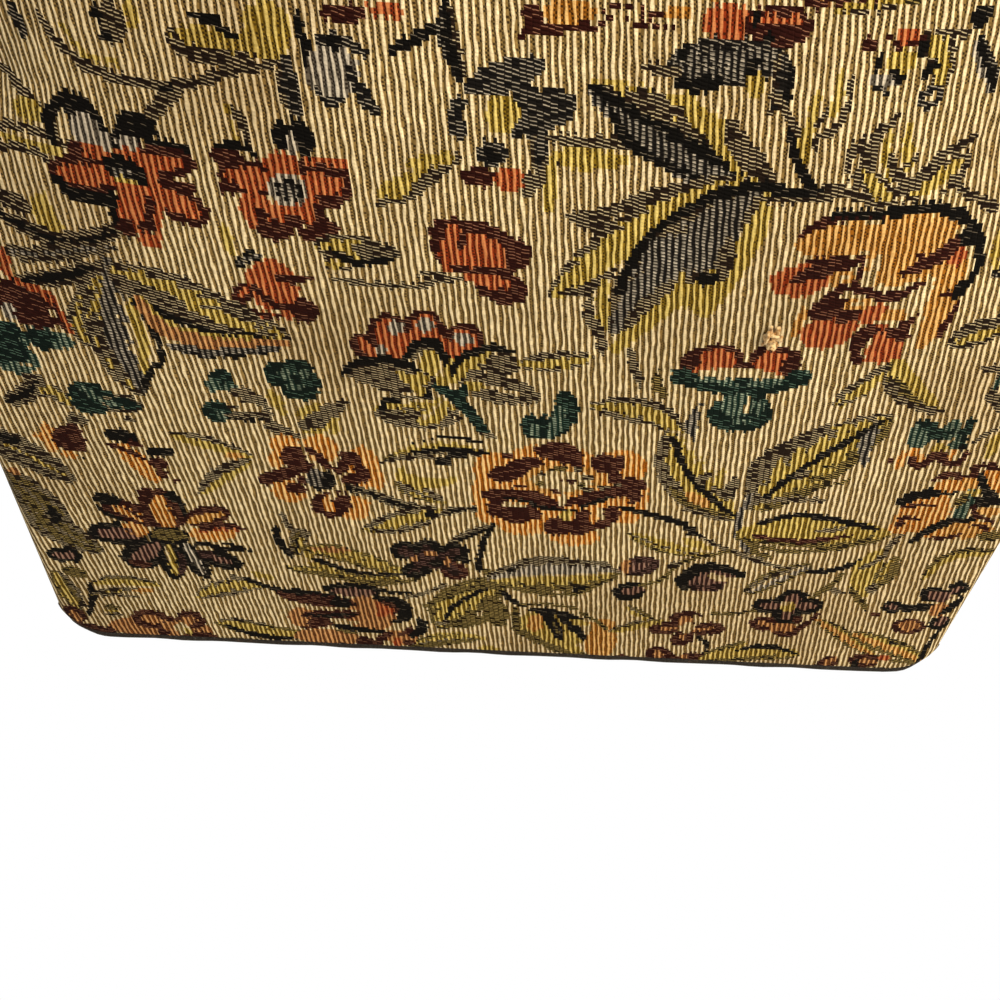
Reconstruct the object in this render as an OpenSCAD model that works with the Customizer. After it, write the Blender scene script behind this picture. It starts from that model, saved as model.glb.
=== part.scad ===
// A tapestry carpet bag: two woven panels and pleated side gussets, piped along their seams,
// hung from a hinged brass frame with a ball clasp and two rolled handles.
// Millimetres. +Z is up, the front faces -Y, and the origin is the middle of the base on the floor.

/* [Body] */
// Width of the bag over its side gussets
body_w = 305; // [270:5:340]
// Depth of the base from the front seam to the rear seam
base_d = 120; // [105:5:150]
// Backward lean of the two panels above the base, in degrees
panel_lean = 6; // [3:0.5:8]
// Radius of the lower corners of the panels
corner_r = 16; // [10:1:26]
// Height at which the panel edges begin to draw in towards the frame
edge_bend_z = 90; // [60:5:120]
// Height at which the middle of a panel begins to draw in towards the frame
middle_bend_z = 150; // [130:5:170]
// Depth of the inward pleat at the top of each side gusset
pleat_depth = 32; // [20:1:45]
// Height at which the pleats begin
pleat_z = 60; // [40:5:90]
// Thickness of the tapestry with its backing
cloth_t = 2; // [1.4:0.1:2.4]
// Thickness of the cotton lining
lining_t = 1; // [0.6:0.1:1.4]
// Thickness of the board that stiffens the base
board_t = 3; // [2:0.5:5]
// Diameter of the piping along the seams
piping_d = 4; // [3:0.5:5]

/* [Frame] */
// Height of the frame's hinge above the floor
hinge_z = 205; // [195:5:225]
// Height of the frame above its hinge
jaw_h = 60; // [50:2:70]
// Depth of one jaw of the frame, front to back
jaw_d = 8; // [7:0.5:10]
// Width of the jaw's channel, seen from the front
jaw_bar = 9; // [7:0.5:11]
// Wall of the jaw's channel
jaw_wall = 1.2; // [0.8:0.1:1.6]
// Outer radius of the jaw's upper corners
jaw_corner_r = 16; // [13:1:24]
// Distance from the side of the bag to the side of the frame
frame_inset = 4.5; // [3:0.5:8]
// Radius of the hinge ears
ear_r = 7; // [6:0.5:8]
// Thickness of a hinge ear
ear_t = 1.8; // [1.2:0.1:2.4]
// Radius of the hinge rivet's shank
rivet_r = 2; // [1.5:0.1:2.5]
// Radius of the rivet's heads
rivet_head_r = 4; // [3.2:0.1:4.6]
// Thickness of the rivet's heads
rivet_head_t = 1.5; // [1:0.1:2]

/* [Clasp] */
// Radius of the clasp balls
clasp_ball_r = 6; // [5:0.5:7]
// Height of the ball centres above the frame
clasp_rise = 12; // [10:0.5:15]
// How far each ball leans across the middle of the frame
clasp_lean = 1.2; // [0.5:0.1:2]
// Radius of the clasp stems
clasp_stem_r = 2.2; // [1.8:0.1:2.6]
// Radius of the clasp's foot on the frame
clasp_foot_r = 3.4; // [2.8:0.1:3.8]
// Thickness of the clasp's foot
clasp_foot_t = 1.2; // [0.8:0.1:1.6]

/* [Handles] */
// Distance between the two ends of a handle
handle_span = 130; // [100:5:160]
// Height of the handle's centre line above its pivot
handle_rise = 112; // [105:1:130]
// Diameter of the rolled handle
handle_d = 11; // [9:0.5:13]
// Width of the flat tab at each handle end
tab_w = 12; // [10:0.5:13]
// Height of the tab above the ring's upper bar
tab_h = 16; // [12:1:20]
// Thickness of the tab
tab_t = 5; // [4:0.5:6]
// Radius of the ring's wire
ring_r = 1.5; // [1.2:0.1:1.8]
// Width of a ring between the middles of its side bars
ring_w = 20; // [18:0.5:24]
// Height of a ring between the middles of its upper and lower bars
ring_h = 13; // [11:0.5:16]
// Length of the knuckle that holds the ring's lower bar
knuckle_w = 9; // [7:0.5:11]
// Wall of the knuckle around its bore
knuckle_wall = 1.1; // [0.8:0.1:1.5]
// Width of the plate that carries the knuckle
plate_w = 36; // [34:0.5:42]
// Thickness of that plate
plate_t = 1.2; // [0.8:0.1:1.6]

/* [Clearances] */
// Gap between cloth pieces and between cloth and metal at a seam
seat_gap = 0.3; // [0.2:0.05:0.5]
// Gap between the lining and the cloth around it
lining_gap = 1.5; // [1:0.1:2]
// Gap that the moving frame keeps from the cloth inside it
swing_gap = 0.5; // [0.4:0.05:0.8]
// Gap between the two closed jaws
jaw_gap = 0.6; // [0.4:0.1:1]
// Gap between the two hinge ears, and from the ears to the rivet's heads
ear_gap = 0.3; // [0.2:0.05:0.5]
// Radial clearance of pins and bars in their bores
run_gap = 0.06; // [0.03:0.01:0.1]

/* [Hidden] */
$fn = 64;

// Colours
tapestry_colour = [0.72, 0.61, 0.40];
black_leather = [0.06, 0.05, 0.05];
board_colour = [0.45, 0.38, 0.30];
lining_colour = [0.45, 0.32, 0.20];
brass_colour = [0.72, 0.57, 0.30];

// Body outline
half_w = body_w / 2;
half_d = base_d / 2;
lean = tan(panel_lean);
piping_r = piping_d / 2;
piping_inset = piping_r + seat_gap;
seam_inset = piping_inset + piping_r + seat_gap;
strip_clear = max(piping_r, cloth_t) + 2 * seat_gap;

// Facets along the soft pieces
corner_steps = 5;
gusset_rows = 14;
neck_steps = 4;
panel_columns = 20;
gusset_columns = 8;
piping_sides = 8;

// Frame outline
frame_w = body_w - 2 * frame_inset;
jaw_face_y = jaw_gap / 2 + jaw_d;
leg_z = hinge_z + ear_r + 2 * ear_gap;
mouth_y = jaw_face_y - jaw_wall;
mouth_reach = jaw_h - jaw_bar - swing_gap;
gusset_top = hinge_z - ear_r - 2 * swing_gap;
neck_z = gusset_z(gusset_rows - 1);
cloth_top = hinge_z + sqrt(pow(mouth_reach, 2) - pow(mouth_y, 2));
mouth_corner_r = jaw_corner_r - jaw_bar - 2 * swing_gap;
mouth_corner_z = hinge_z + jaw_h - jaw_corner_r;
neck_half_w = frame_w / 2 - jaw_bar - 2 * swing_gap;

// Height of the lining's foot
lining_z = cloth_t + board_t + 2 * seat_gap;

// Handle pivot
pivot_bore_r = ring_r + run_gap;
knuckle_r = pivot_bore_r + knuckle_wall;
pivot_y = -(jaw_face_y + plate_t + knuckle_r - knuckle_wall / 2);
pivot_z = hinge_z + jaw_h - jaw_bar / 3;

// Distance of the cloth from the middle of the bag
function drawn_in(z, from, to, reach) = reach * pow(max(0, z - from) / (to - from), 2);
function edge_y(z) =
    z >= gusset_top ? mouth_y :
    half_d - lean * z - drawn_in(z, edge_bend_z, gusset_top, half_d - lean * gusset_top - mouth_y);
function middle_y(z) =
    half_d - lean * z - drawn_in(z, middle_bend_z, cloth_top, half_d - lean * cloth_top - mouth_y);
function panel_y(share, z) = edge_y(z) + (middle_y(z) - edge_y(z)) * (1 - pow(share, 4));

// Side of the bag at a height, some way in from its outer face, round the lower corner
function side_x(z, inset) =
    z >= corner_r ? half_w - inset :
    half_w - corner_r + sqrt(max(0, pow(corner_r - inset, 2) - pow(corner_r - z, 2)));
function corner_z(angle, inset) = corner_r - (corner_r - inset) * cos(angle);
function mix(a, b, share) = a + (b - a) * share;
function panel_half_w(z) =
    z <= neck_z ? side_x(z, seam_inset) :
    z <= gusset_top ? mix(half_w - seam_inset, neck_half_w, (z - neck_z) / (gusset_top - neck_z)) :
    neck_half_w - mouth_corner_r + sqrt(max(0, pow(mouth_corner_r, 2) - pow(max(0, z - mouth_corner_z), 2)));
function pleat(z) = z <= pleat_z ? 0 : pleat_depth * pow((z - pleat_z) / (gusset_top - pleat_z), 1.5);

// Heights of the rows of a gusset above its corner, and of a panel from its lower edge to the frame
function gusset_z(row) = mix(corner_r, gusset_top, row / gusset_rows);
panel_rows = concat(
    [for (i = [0:corner_steps]) corner_z(90 * i / corner_steps, seam_inset)],
    [for (i = [1:gusset_rows]) gusset_z(i)],
    [for (i = [1:neck_steps]) mix(gusset_top, mouth_corner_z, i / neck_steps)],
    [for (i = [1:corner_steps]) mix(mouth_corner_z, cloth_top, sin(90 * i / corner_steps))]
);

// A closed sheet between two grids of points with the same rows and columns
module sheet(outer, inner) {
    rows = len(outer);
    cols = len(outer[0]);
    count = rows * cols;
    function at(side, r, c) = side * count + r * cols + c;
    skins = [for (s = [0, 1], r = [0:rows - 2], c = [0:cols - 2])
        let (a = at(s, r, c), b = at(s, r, c + 1), d = at(s, r + 1, c), e = at(s, r + 1, c + 1))
        each s == 0 ? [[a, d, b], [b, d, e]] : [[a, b, d], [b, e, d]]];
    ends = [for (r = [0, rows - 1], c = [0:cols - 2])
        let (a = at(0, r, c), b = at(0, r, c + 1), d = at(1, r, c), e = at(1, r, c + 1))
        each r == 0 ? [[a, b, d], [b, e, d]] : [[a, d, b], [b, d, e]]];
    sides = [for (c = [0, cols - 1], r = [0:rows - 2])
        let (a = at(0, r, c), b = at(0, r + 1, c), d = at(1, r, c), e = at(1, r + 1, c))
        each c == 0 ? [[a, d, b], [b, d, e]] : [[a, b, d], [b, e, d]]];
    points = [for (side = [outer, inner], row = side) each row];
    polyhedron(points, concat(skins, ends, sides));
}

// One woven panel, straight above the base and drawn in to the frame at its top
module woven_panel() {
    shares = [for (i = [0:panel_columns]) 2 * i / panel_columns - 1];
    outer = [for (z = panel_rows) [for (s = shares) [s * panel_half_w(z), -panel_y(s, z), z]]];
    inner = [for (row = outer) [for (p = row) p + [0, cloth_t, 0]]];
    color(tapestry_colour) sheet(outer, inner);
}

// One side gusset on the +X side, from under the lower corner to the hinge, with its inward pleat
module pleated_gusset() {
    shares = [for (i = [0:gusset_columns]) 2 * i / gusset_columns - 1];
    function reach(z) = edge_y(z) - strip_clear;
    function corner_point(s, a, inset) =
        [half_w - corner_r + (corner_r - inset) * sin(a), s * reach(corner_z(a, 0)), corner_z(a, inset)];
    function inner_point(s, z) = [half_w - cloth_t - pleat(z) * (1 - abs(s)), s * reach(z), z];
    function outer_point(s, z) =
        let (
            long = norm([pleat(z), reach(z)]),
            side_step = cloth_t * pleat(z) / long,
            share = mix(side_step / reach(z), 1, abs(s)),
            x = half_w - cloth_t - pleat(z) * (1 - share) + cloth_t * reach(z) / long
        )
        [x, sign(s) * (share * reach(z) - side_step), z];
    angles = [for (i = [0:corner_steps - 1]) 90 * i / corner_steps];
    heights = [for (i = [0:gusset_rows]) gusset_z(i)];
    outer = concat(
        [for (a = angles) [for (s = shares) corner_point(s, a, 0)]],
        [for (z = heights) [for (s = shares) outer_point(s, z)]]
    );
    inner = concat(
        [for (a = angles) [for (s = shares) corner_point(s, a, cloth_t)]],
        [for (z = heights) [for (s = shares) inner_point(s, z)]]
    );
    color(tapestry_colour) sheet(outer, inner);
}

module base_panel() {
    size = [body_w - 2 * (corner_r + seat_gap), base_d - 2 * strip_clear, cloth_t];
    color(black_leather) translate([-size.x / 2, -size.y / 2, 0]) cube(size);
}

module base_board() {
    inset = corner_r + strip_clear;
    size = [body_w - 2 * inset, base_d - 2 * inset, board_t];
    color(board_colour) translate([-size.x / 2, -size.y / 2, cloth_t + seat_gap]) cube(size);
}

// The cotton bag inside, open at its rim below the frame
module lining() {
    shares = [for (i = [0:panel_columns]) 2 * i / panel_columns - 1];
    side_shares = [for (i = [1:gusset_columns - 1]) 2 * i / gusset_columns - 1];
    function slant(z, off) = off * norm([pleat(z), edge_y(z) - strip_clear]) / (edge_y(z) - strip_clear);
    function half_at(z, off) = min(side_x(z, cloth_t + off), half_w - cloth_t - slant(z, off));
    function share_at(s, z, off) = min(1, abs(s) * half_at(z, off) / panel_half_w(z));
    function wall_y(s, z, off) = panel_y(share_at(s, z, off), z) - cloth_t - off;
    function front_point(s, z, off) = [s * half_at(z, off), -wall_y(s, z, off), z];
    function side_point(s, z, off) = [half_at(z, off) - pleat(z) * (1 - abs(s)), s * wall_y(1, z, off), z];
    function half_ring(z, off) = concat(
        [for (s = shares) front_point(s, z, off)],
        [for (s = side_shares) side_point(s, z, off)]
    );
    function ring(z, off) = concat(half_ring(z, off), [for (p = half_ring(z, off)) [-p.x, -p.y, p.z]]);
    heights = [for (i = [0:gusset_rows - 1]) gusset_z(i)];
    outer = [for (z = concat([lining_z], heights)) ring(z, lining_gap)];
    inner = [for (z = concat([lining_z + lining_t], heights)) ring(z, lining_gap + lining_t)];
    cols = len(outer[0]);
    rows = len(outer);
    count = rows * cols;
    function at(side, r, c) = side * count + r * cols + c % cols;
    walls = [for (s = [0, 1], r = [0:rows - 2], c = [0:cols - 1])
        let (a = at(s, r, c), b = at(s, r, c + 1), d = at(s, r + 1, c), e = at(s, r + 1, c + 1))
        each s == 0 ? [[a, d, b], [b, d, e]] : [[a, b, d], [b, e, d]]];
    rim = [for (c = [0:cols - 1])
        let (a = at(0, rows - 1, c), b = at(0, rows - 1, c + 1), d = at(1, rows - 1, c), e = at(1, rows - 1, c + 1))
        each [[a, d, b], [b, d, e]]];
    floors = [for (s = [0, 1], c = [0:cols - 1])
        let (hub = 2 * count + s, a = at(s, 0, c), b = at(s, 0, c + 1)) s == 0 ? [hub, a, b] : [hub, b, a]];
    hubs = [[0, 0, lining_z], [0, 0, lining_z + lining_t]];
    points = concat([for (side = [outer, inner], row = side) each row], hubs);
    color(lining_colour) polyhedron(points, concat(walls, rim, floors));
}

// A tube swept along points, whose rings lie square to the path
module swept_tube(path, radius) {
    last = len(path) - 1;
    function along(i) = let (d = path[min(i + 1, last)] - path[max(i - 1, 0)]) d / norm(d);
    function ring(i) =
        let (t = along(i), u0 = cross([0, 1, 0], t), u = u0 / norm(u0), v = cross(t, u))
        [for (k = [0:piping_sides - 1])
            let (a = 360 * k / piping_sides) path[i] + radius * (cos(a) * u + sin(a) * v)];
    function at(i, k) = i * piping_sides + k % piping_sides;
    walls = [for (i = [0:last - 1], k = [0:piping_sides - 1])
        each [[at(i, k), at(i + 1, k), at(i, k + 1)], [at(i, k + 1), at(i + 1, k), at(i + 1, k + 1)]]];
    ends = [[for (k = [0:piping_sides - 1]) at(0, k)], [for (k = [piping_sides - 1:-1:0]) at(last, k)]];
    polyhedron([for (i = [0:last]) each ring(i)], concat(walls, ends));
}

// The piping round one panel, up both sides and under its lower edge
module seam_piping() {
    function side_point(z, dir) = [dir * side_x(z, piping_inset), -edge_y(z), z];
    heights = concat(
        [for (i = [1:2 * corner_steps]) corner_z(45 * i / corner_steps, piping_inset)],
        [for (i = [1:gusset_rows - 1]) gusset_z(i)]
    );
    bottom_x = half_w - corner_r;
    path = concat(
        [for (i = [len(heights) - 1:-1:0]) side_point(heights[i], -1)],
        [[-bottom_x, -edge_y(piping_inset), piping_inset], [bottom_x, -edge_y(piping_inset), piping_inset]],
        [for (z = heights) side_point(z, 1)]
    );
    color(black_leather) swept_tube(path, piping_r);
}

// An upright arch seen from the front, with its two upper corners rounded
module arch_outline(width, height, radius) {
    translate([-width / 2, 0]) square([width, height - radius]);
    translate([-(width / 2 - radius), 0]) square([width - 2 * radius, height]);
    for (dir = [-1, 1]) translate([dir * (width / 2 - radius), height - radius]) circle(radius);
}

// The front jaw: a channel that opens towards the cloth, with a hinge ear under each leg
module frame_jaw(ear_inset) {
    leg_h = hinge_z + jaw_h - leg_z;
    color(brass_colour) difference() {
        union() {
            translate([0, -jaw_gap / 2, leg_z]) rotate([90, 0, 0]) difference() {
                linear_extrude(jaw_d) arch_outline(frame_w, leg_h, jaw_corner_r);
                translate([0, -1, -1]) linear_extrude(jaw_d + 2)
                    arch_outline(frame_w - 2 * jaw_bar, leg_h - jaw_bar + 1, jaw_corner_r - jaw_bar);
                translate([0, -1, jaw_wall]) linear_extrude(jaw_d - 2 * jaw_wall)
                    arch_outline(frame_w - 2 * jaw_wall, leg_h - jaw_wall + 1, jaw_corner_r - jaw_wall);
            }
            for (dir = [-1, 1]) hinge_ear(dir, ear_inset);
        }
        for (dir = [-1, 1]) translate([dir * (frame_w / 2 - ear_inset), 0, hinge_z])
            rotate([0, 90, 0]) cylinder(r = rivet_r + run_gap, h = 4 * ear_t, center = true);
    }
}

module hinge_ear(dir, ear_inset) {
    centre_x = dir * (frame_w / 2 - ear_inset - ear_t / 2);
    translate([centre_x, 0, hinge_z]) {
        rotate([0, 90, 0]) cylinder(r = ear_r, h = ear_t, center = true);
        translate([-ear_t / 2, -ear_r, 0]) cube([ear_t, ear_r - jaw_gap / 2, leg_z - hinge_z + 2 * ear_t]);
    }
}

// The rivet through one pair of ears, on the +X side
module hinge_rivet() {
    stack = 2 * ear_t + 3 * ear_gap;
    color(brass_colour) translate([frame_w / 2 + ear_gap, 0, hinge_z]) rotate([0, 90, 0]) {
        translate([0, 0, -stack - rivet_head_t]) cylinder(r = rivet_head_r, h = rivet_head_t);
        translate([0, 0, -stack - rivet_head_t / 2]) cylinder(r = rivet_r, h = stack + rivet_head_t);
        cylinder(r1 = rivet_head_r, r2 = rivet_head_r * 0.6, h = rivet_head_t);
    }
}

// The front half of the ball clasp, whose ball leans over the rear jaw
module ball_clasp() {
    foot_y = -(jaw_gap + jaw_d) / 2;
    offset_x = -(clasp_ball_r + 2 * swing_gap);
    tilt = atan2(clasp_lean - foot_y, clasp_rise);
    color(brass_colour) translate([offset_x, foot_y, hinge_z + jaw_h]) {
        cylinder(r = clasp_foot_r, h = clasp_foot_t);
        intersection() {
            rotate([-tilt, 0, 0]) translate([0, 0, -clasp_stem_r])
                cylinder(r = clasp_stem_r, h = clasp_rise / cos(tilt) + clasp_stem_r);
            translate([0, 0, clasp_rise]) cube([4 * clasp_ball_r, 8 * clasp_ball_r, 2 * clasp_rise], center = true);
        }
        translate([0, clasp_lean - foot_y, clasp_rise]) sphere(clasp_ball_r);
    }
}

// The plate on the front jaw's face that carries the knuckle of a ring
module handle_plate() {
    plate_h = jaw_bar - 2 * seat_gap;
    rivet_x = plate_w / 2 - plate_h * 0.35;
    color(brass_colour) difference() {
        union() {
            translate([-plate_w / 2, -jaw_face_y - plate_t, hinge_z + jaw_h - jaw_bar + seat_gap])
                cube([plate_w, plate_t, plate_h]);
            translate([0, pivot_y, pivot_z]) rotate([0, 90, 0])
                cylinder(r = knuckle_r, h = knuckle_w, center = true);
            for (dir = [-1, 1]) translate([dir * rivet_x, -jaw_face_y, hinge_z + jaw_h - jaw_bar / 2])
                rotate([90, 0, 0]) cylinder(r1 = plate_h / 4, r2 = plate_h / 6, h = 2 * plate_t);
        }
        translate([0, pivot_y, pivot_z]) rotate([0, 90, 0])
            cylinder(r = pivot_bore_r, h = plate_w, center = true);
    }
}

// The wire ring that joins a handle end to its knuckle
module wire_ring() {
    color(brass_colour) translate([0, pivot_y, pivot_z]) {
        for (z = [0, ring_h]) translate([0, 0, z]) rotate([0, 90, 0])
            cylinder(r = ring_r, h = ring_w, center = true);
        for (dir = [-1, 1]) translate([dir * ring_w / 2, 0, 0]) {
            cylinder(r = ring_r, h = ring_h);
            for (z = [0, ring_h]) translate([0, 0, z]) sphere(ring_r);
        }
    }
}

// One rolled handle with a flat tab round the upper bar of each ring
module rolled_handle() {
    arc_r = handle_span / 2;
    tab_foot_z = pivot_z + ring_h;
    arc_z = pivot_z + handle_rise - arc_r;
    leg_foot_z = tab_foot_z + tab_h - tab_t / 2;
    color(black_leather) difference() {
        translate([0, pivot_y, 0]) {
            translate([0, 0, arc_z]) rotate([90, 0, 0]) rotate_extrude(angle = 180)
                translate([arc_r, 0]) circle(d = handle_d);
            for (dir = [-1, 1]) translate([dir * arc_r, 0, 0]) {
                translate([0, 0, leg_foot_z]) cylinder(d = handle_d, h = arc_z - leg_foot_z);
                translate([-tab_w / 2, -tab_t / 2, tab_foot_z]) cube([tab_w, tab_t, tab_h]);
                translate([0, 0, tab_foot_z]) rotate([0, 90, 0]) cylinder(d = tab_t, h = tab_w, center = true);
            }
        }
        for (dir = [-1, 1]) translate([dir * arc_r, pivot_y, tab_foot_z]) rotate([0, 90, 0])
            cylinder(r = pivot_bore_r, h = 2 * tab_w, center = true);
    }
}

// The same piece on the rear of the bag
module to_rear() {
    mirror([0, 1, 0]) children();
}

// The same piece at the handle end on the chosen side
module at_handle_end(dir) {
    translate([dir * handle_span / 2, 0, 0]) children();
}

woven_panel();  // front_panel
to_rear() woven_panel();  // rear_panel
mirror([1, 0, 0]) pleated_gusset();  // left_gusset
pleated_gusset();  // right_gusset
base_panel();
base_board();
lining();
seam_piping();  // front_piping
to_rear() seam_piping();  // rear_piping
frame_jaw(0);  // front_jaw
to_rear() frame_jaw(ear_t + ear_gap);  // rear_jaw
mirror([1, 0, 0]) hinge_rivet();  // left_hinge_rivet
hinge_rivet();  // right_hinge_rivet
ball_clasp();  // front_clasp
rotate([0, 0, 180]) ball_clasp();  // rear_clasp
at_handle_end(-1) handle_plate();  // front_left_handle_plate
at_handle_end(1) handle_plate();  // front_right_handle_plate
to_rear() at_handle_end(-1) handle_plate();  // rear_left_handle_plate
to_rear() at_handle_end(1) handle_plate();  // rear_right_handle_plate
at_handle_end(-1) wire_ring();  // front_left_ring
at_handle_end(1) wire_ring();  // front_right_ring
to_rear() at_handle_end(-1) wire_ring();  // rear_left_ring
to_rear() at_handle_end(1) wire_ring();  // rear_right_ring
rolled_handle();  // front_handle
to_rear() rolled_handle();  // rear_handle
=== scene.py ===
"""A floral tapestry carpet bag with a hinged brass frame, two rolled handles and black piping."""

from __future__ import annotations

import logging
import math
from dataclasses import dataclass, field
from enum import Enum

import bmesh
import bpy
import numpy as np
from mathutils import Matrix, Vector


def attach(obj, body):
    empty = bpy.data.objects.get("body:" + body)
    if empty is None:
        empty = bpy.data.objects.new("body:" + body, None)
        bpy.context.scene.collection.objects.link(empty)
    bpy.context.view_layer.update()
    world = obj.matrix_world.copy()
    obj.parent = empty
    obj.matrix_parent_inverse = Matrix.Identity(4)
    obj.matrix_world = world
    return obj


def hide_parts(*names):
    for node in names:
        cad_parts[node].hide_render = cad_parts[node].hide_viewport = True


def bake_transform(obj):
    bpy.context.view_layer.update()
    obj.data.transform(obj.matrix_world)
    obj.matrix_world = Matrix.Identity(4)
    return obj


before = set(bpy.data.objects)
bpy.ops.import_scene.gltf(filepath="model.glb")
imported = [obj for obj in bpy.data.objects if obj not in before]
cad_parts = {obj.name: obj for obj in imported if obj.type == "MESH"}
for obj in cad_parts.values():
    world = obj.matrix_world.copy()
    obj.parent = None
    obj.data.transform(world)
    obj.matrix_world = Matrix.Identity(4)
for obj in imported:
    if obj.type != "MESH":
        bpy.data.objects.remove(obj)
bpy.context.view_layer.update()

LOG = logging.getLogger("carpet_bag")
MM = 0.001

# Short names for types that many functions share
Socket = bpy.types.NodeSocket
Material = bpy.types.Material
Piece = bpy.types.Object
Tint = bpy.types.NodeSocket | tuple[float, ...]
Cut = tuple[tuple[float, float], tuple[float, float]]


def srgb(code: str) -> tuple[float, float, float, float]:
    """Turns an sRGB hex code into a linear colour.

    Args:
        code: six hex digits.

    Returns:
        The linear red, green, blue and an alpha of 1.
    """
    parts = [int(code[i : i + 2], 16) / 255 for i in (0, 2, 4)]
    linear = [c / 12.92 if c <= 0.04045 else ((c + 0.055) / 1.055) ** 2.4 for c in parts]
    return (*linear, 1.0)


@dataclass(frozen=True)
class Dye:
    """How one yarn of the cloth looks.

    Attributes:
        face: colour of its cords, or of the light dashes between its floats.
        ground: colour of the gaps between its cords, or of its floats.
        cover: 0 where it shows as upright cords, or the share of the cloth that its floats cover, which is
            below 0 where light beads rather than level dashes show between the floats.
    """

    face: str
    ground: str
    cover: float


class Yarn(Enum):
    """The yarns of the tapestry."""

    CREAM = Dye("F8ECC6", "887040", 0.0)
    OLIVE = Dye("E6D482", "7A6216", 0.0)
    MOSS = Dye("CCB66C", "1E1808", 0.66)
    BROWN = Dye("E2D4AC", "1E140D", 0.68)
    GREY = Dye("C6C0B2", "12100F", -0.62)
    BLACK = Dye("988E7C", "070605", 0.84)
    RUST = Dye("D28C5A", "88300F", 0.0)
    MAROON = Dye("AE7C62", "280A06", 0.76)
    ORANGE = Dye("F6D898", "B0640E", 0.0)
    GOLD = Dye("EEC884", "965E16", 0.0)
    TEAL = Dye("6E9484", "061714", 0.78)
    SEA = Dye("A8BCA8", "0C2620", -0.5)
    PLUM = Dye("9A746C", "1C0E0C", 0.74)
    ROSE = Dye("DCAC74", "7A4A24", 0.0)
    ASH = Dye("DAD4C4", "5A544A", 0.0)
    MAUVE = Dye("A88878", "361C1A", 0.0)
    COAL = Dye("BEB6A4", "100E0D", 0.7)


ORDER = {yarn: i for i, yarn in enumerate(Yarn)}


@dataclass(frozen=True)
class Blob:
    """A filled oval of one yarn, in millimetres on the flat cloth.

    Attributes:
        x: centre across the cloth.
        z: centre up the cloth.
        rx: half width.
        rz: half height.
        yarn: yarn of the fill.
        turn: turn in degrees, from the cloth's width.
    """

    x: float
    z: float
    rx: float
    rz: float
    yarn: Yarn
    turn: float = 0.0

    def mask(self, x: np.ndarray, z: np.ndarray) -> np.ndarray:
        """Says which points lie in the oval.

        Args:
            x: places across the cloth.
            z: places up the cloth.

        Returns:
            True for each point inside.
        """
        angle = math.radians(self.turn)
        dx, dz = x - self.x, z - self.z
        along = (dx * math.cos(angle) + dz * math.sin(angle)) / self.rx
        across = (dz * math.cos(angle) - dx * math.sin(angle)) / self.rz
        return along * along + across * across < 1.0

    def paint(self, shown: np.ndarray, x: np.ndarray, z: np.ndarray) -> None:
        """Weaves the oval.

        Args:
            shown: index of the yarn at each point, changed in place.
            x: places across the cloth.
            z: places up the cloth.
        """
        shown[self.mask(x, z)] = ORDER[self.yarn]


@dataclass(frozen=True)
class Petal(Blob):
    """An oval petal with a rim of another yarn on its far side.

    Attributes:
        rim: yarn of the rim.
        edge: width of the rim.
    """

    rim: Yarn = Yarn.MAROON
    edge: float = 1.8

    def paint(self, shown: np.ndarray, x: np.ndarray, z: np.ndarray) -> None:
        """Weaves the petal.

        Args:
            shown: index of the yarn at each point, changed in place.
            x: places across the cloth.
            z: places up the cloth.
        """
        angle, inset = math.radians(self.turn), 0.5 * self.edge
        at = (self.x - inset * math.cos(angle), self.z - inset * math.sin(angle))
        inner = Blob(*at, self.rx - inset, max(self.rz - self.edge, 0.5), self.yarn, self.turn)
        shown[self.mask(x, z)] = ORDER[self.rim]
        inner.paint(shown, x, z)


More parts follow.
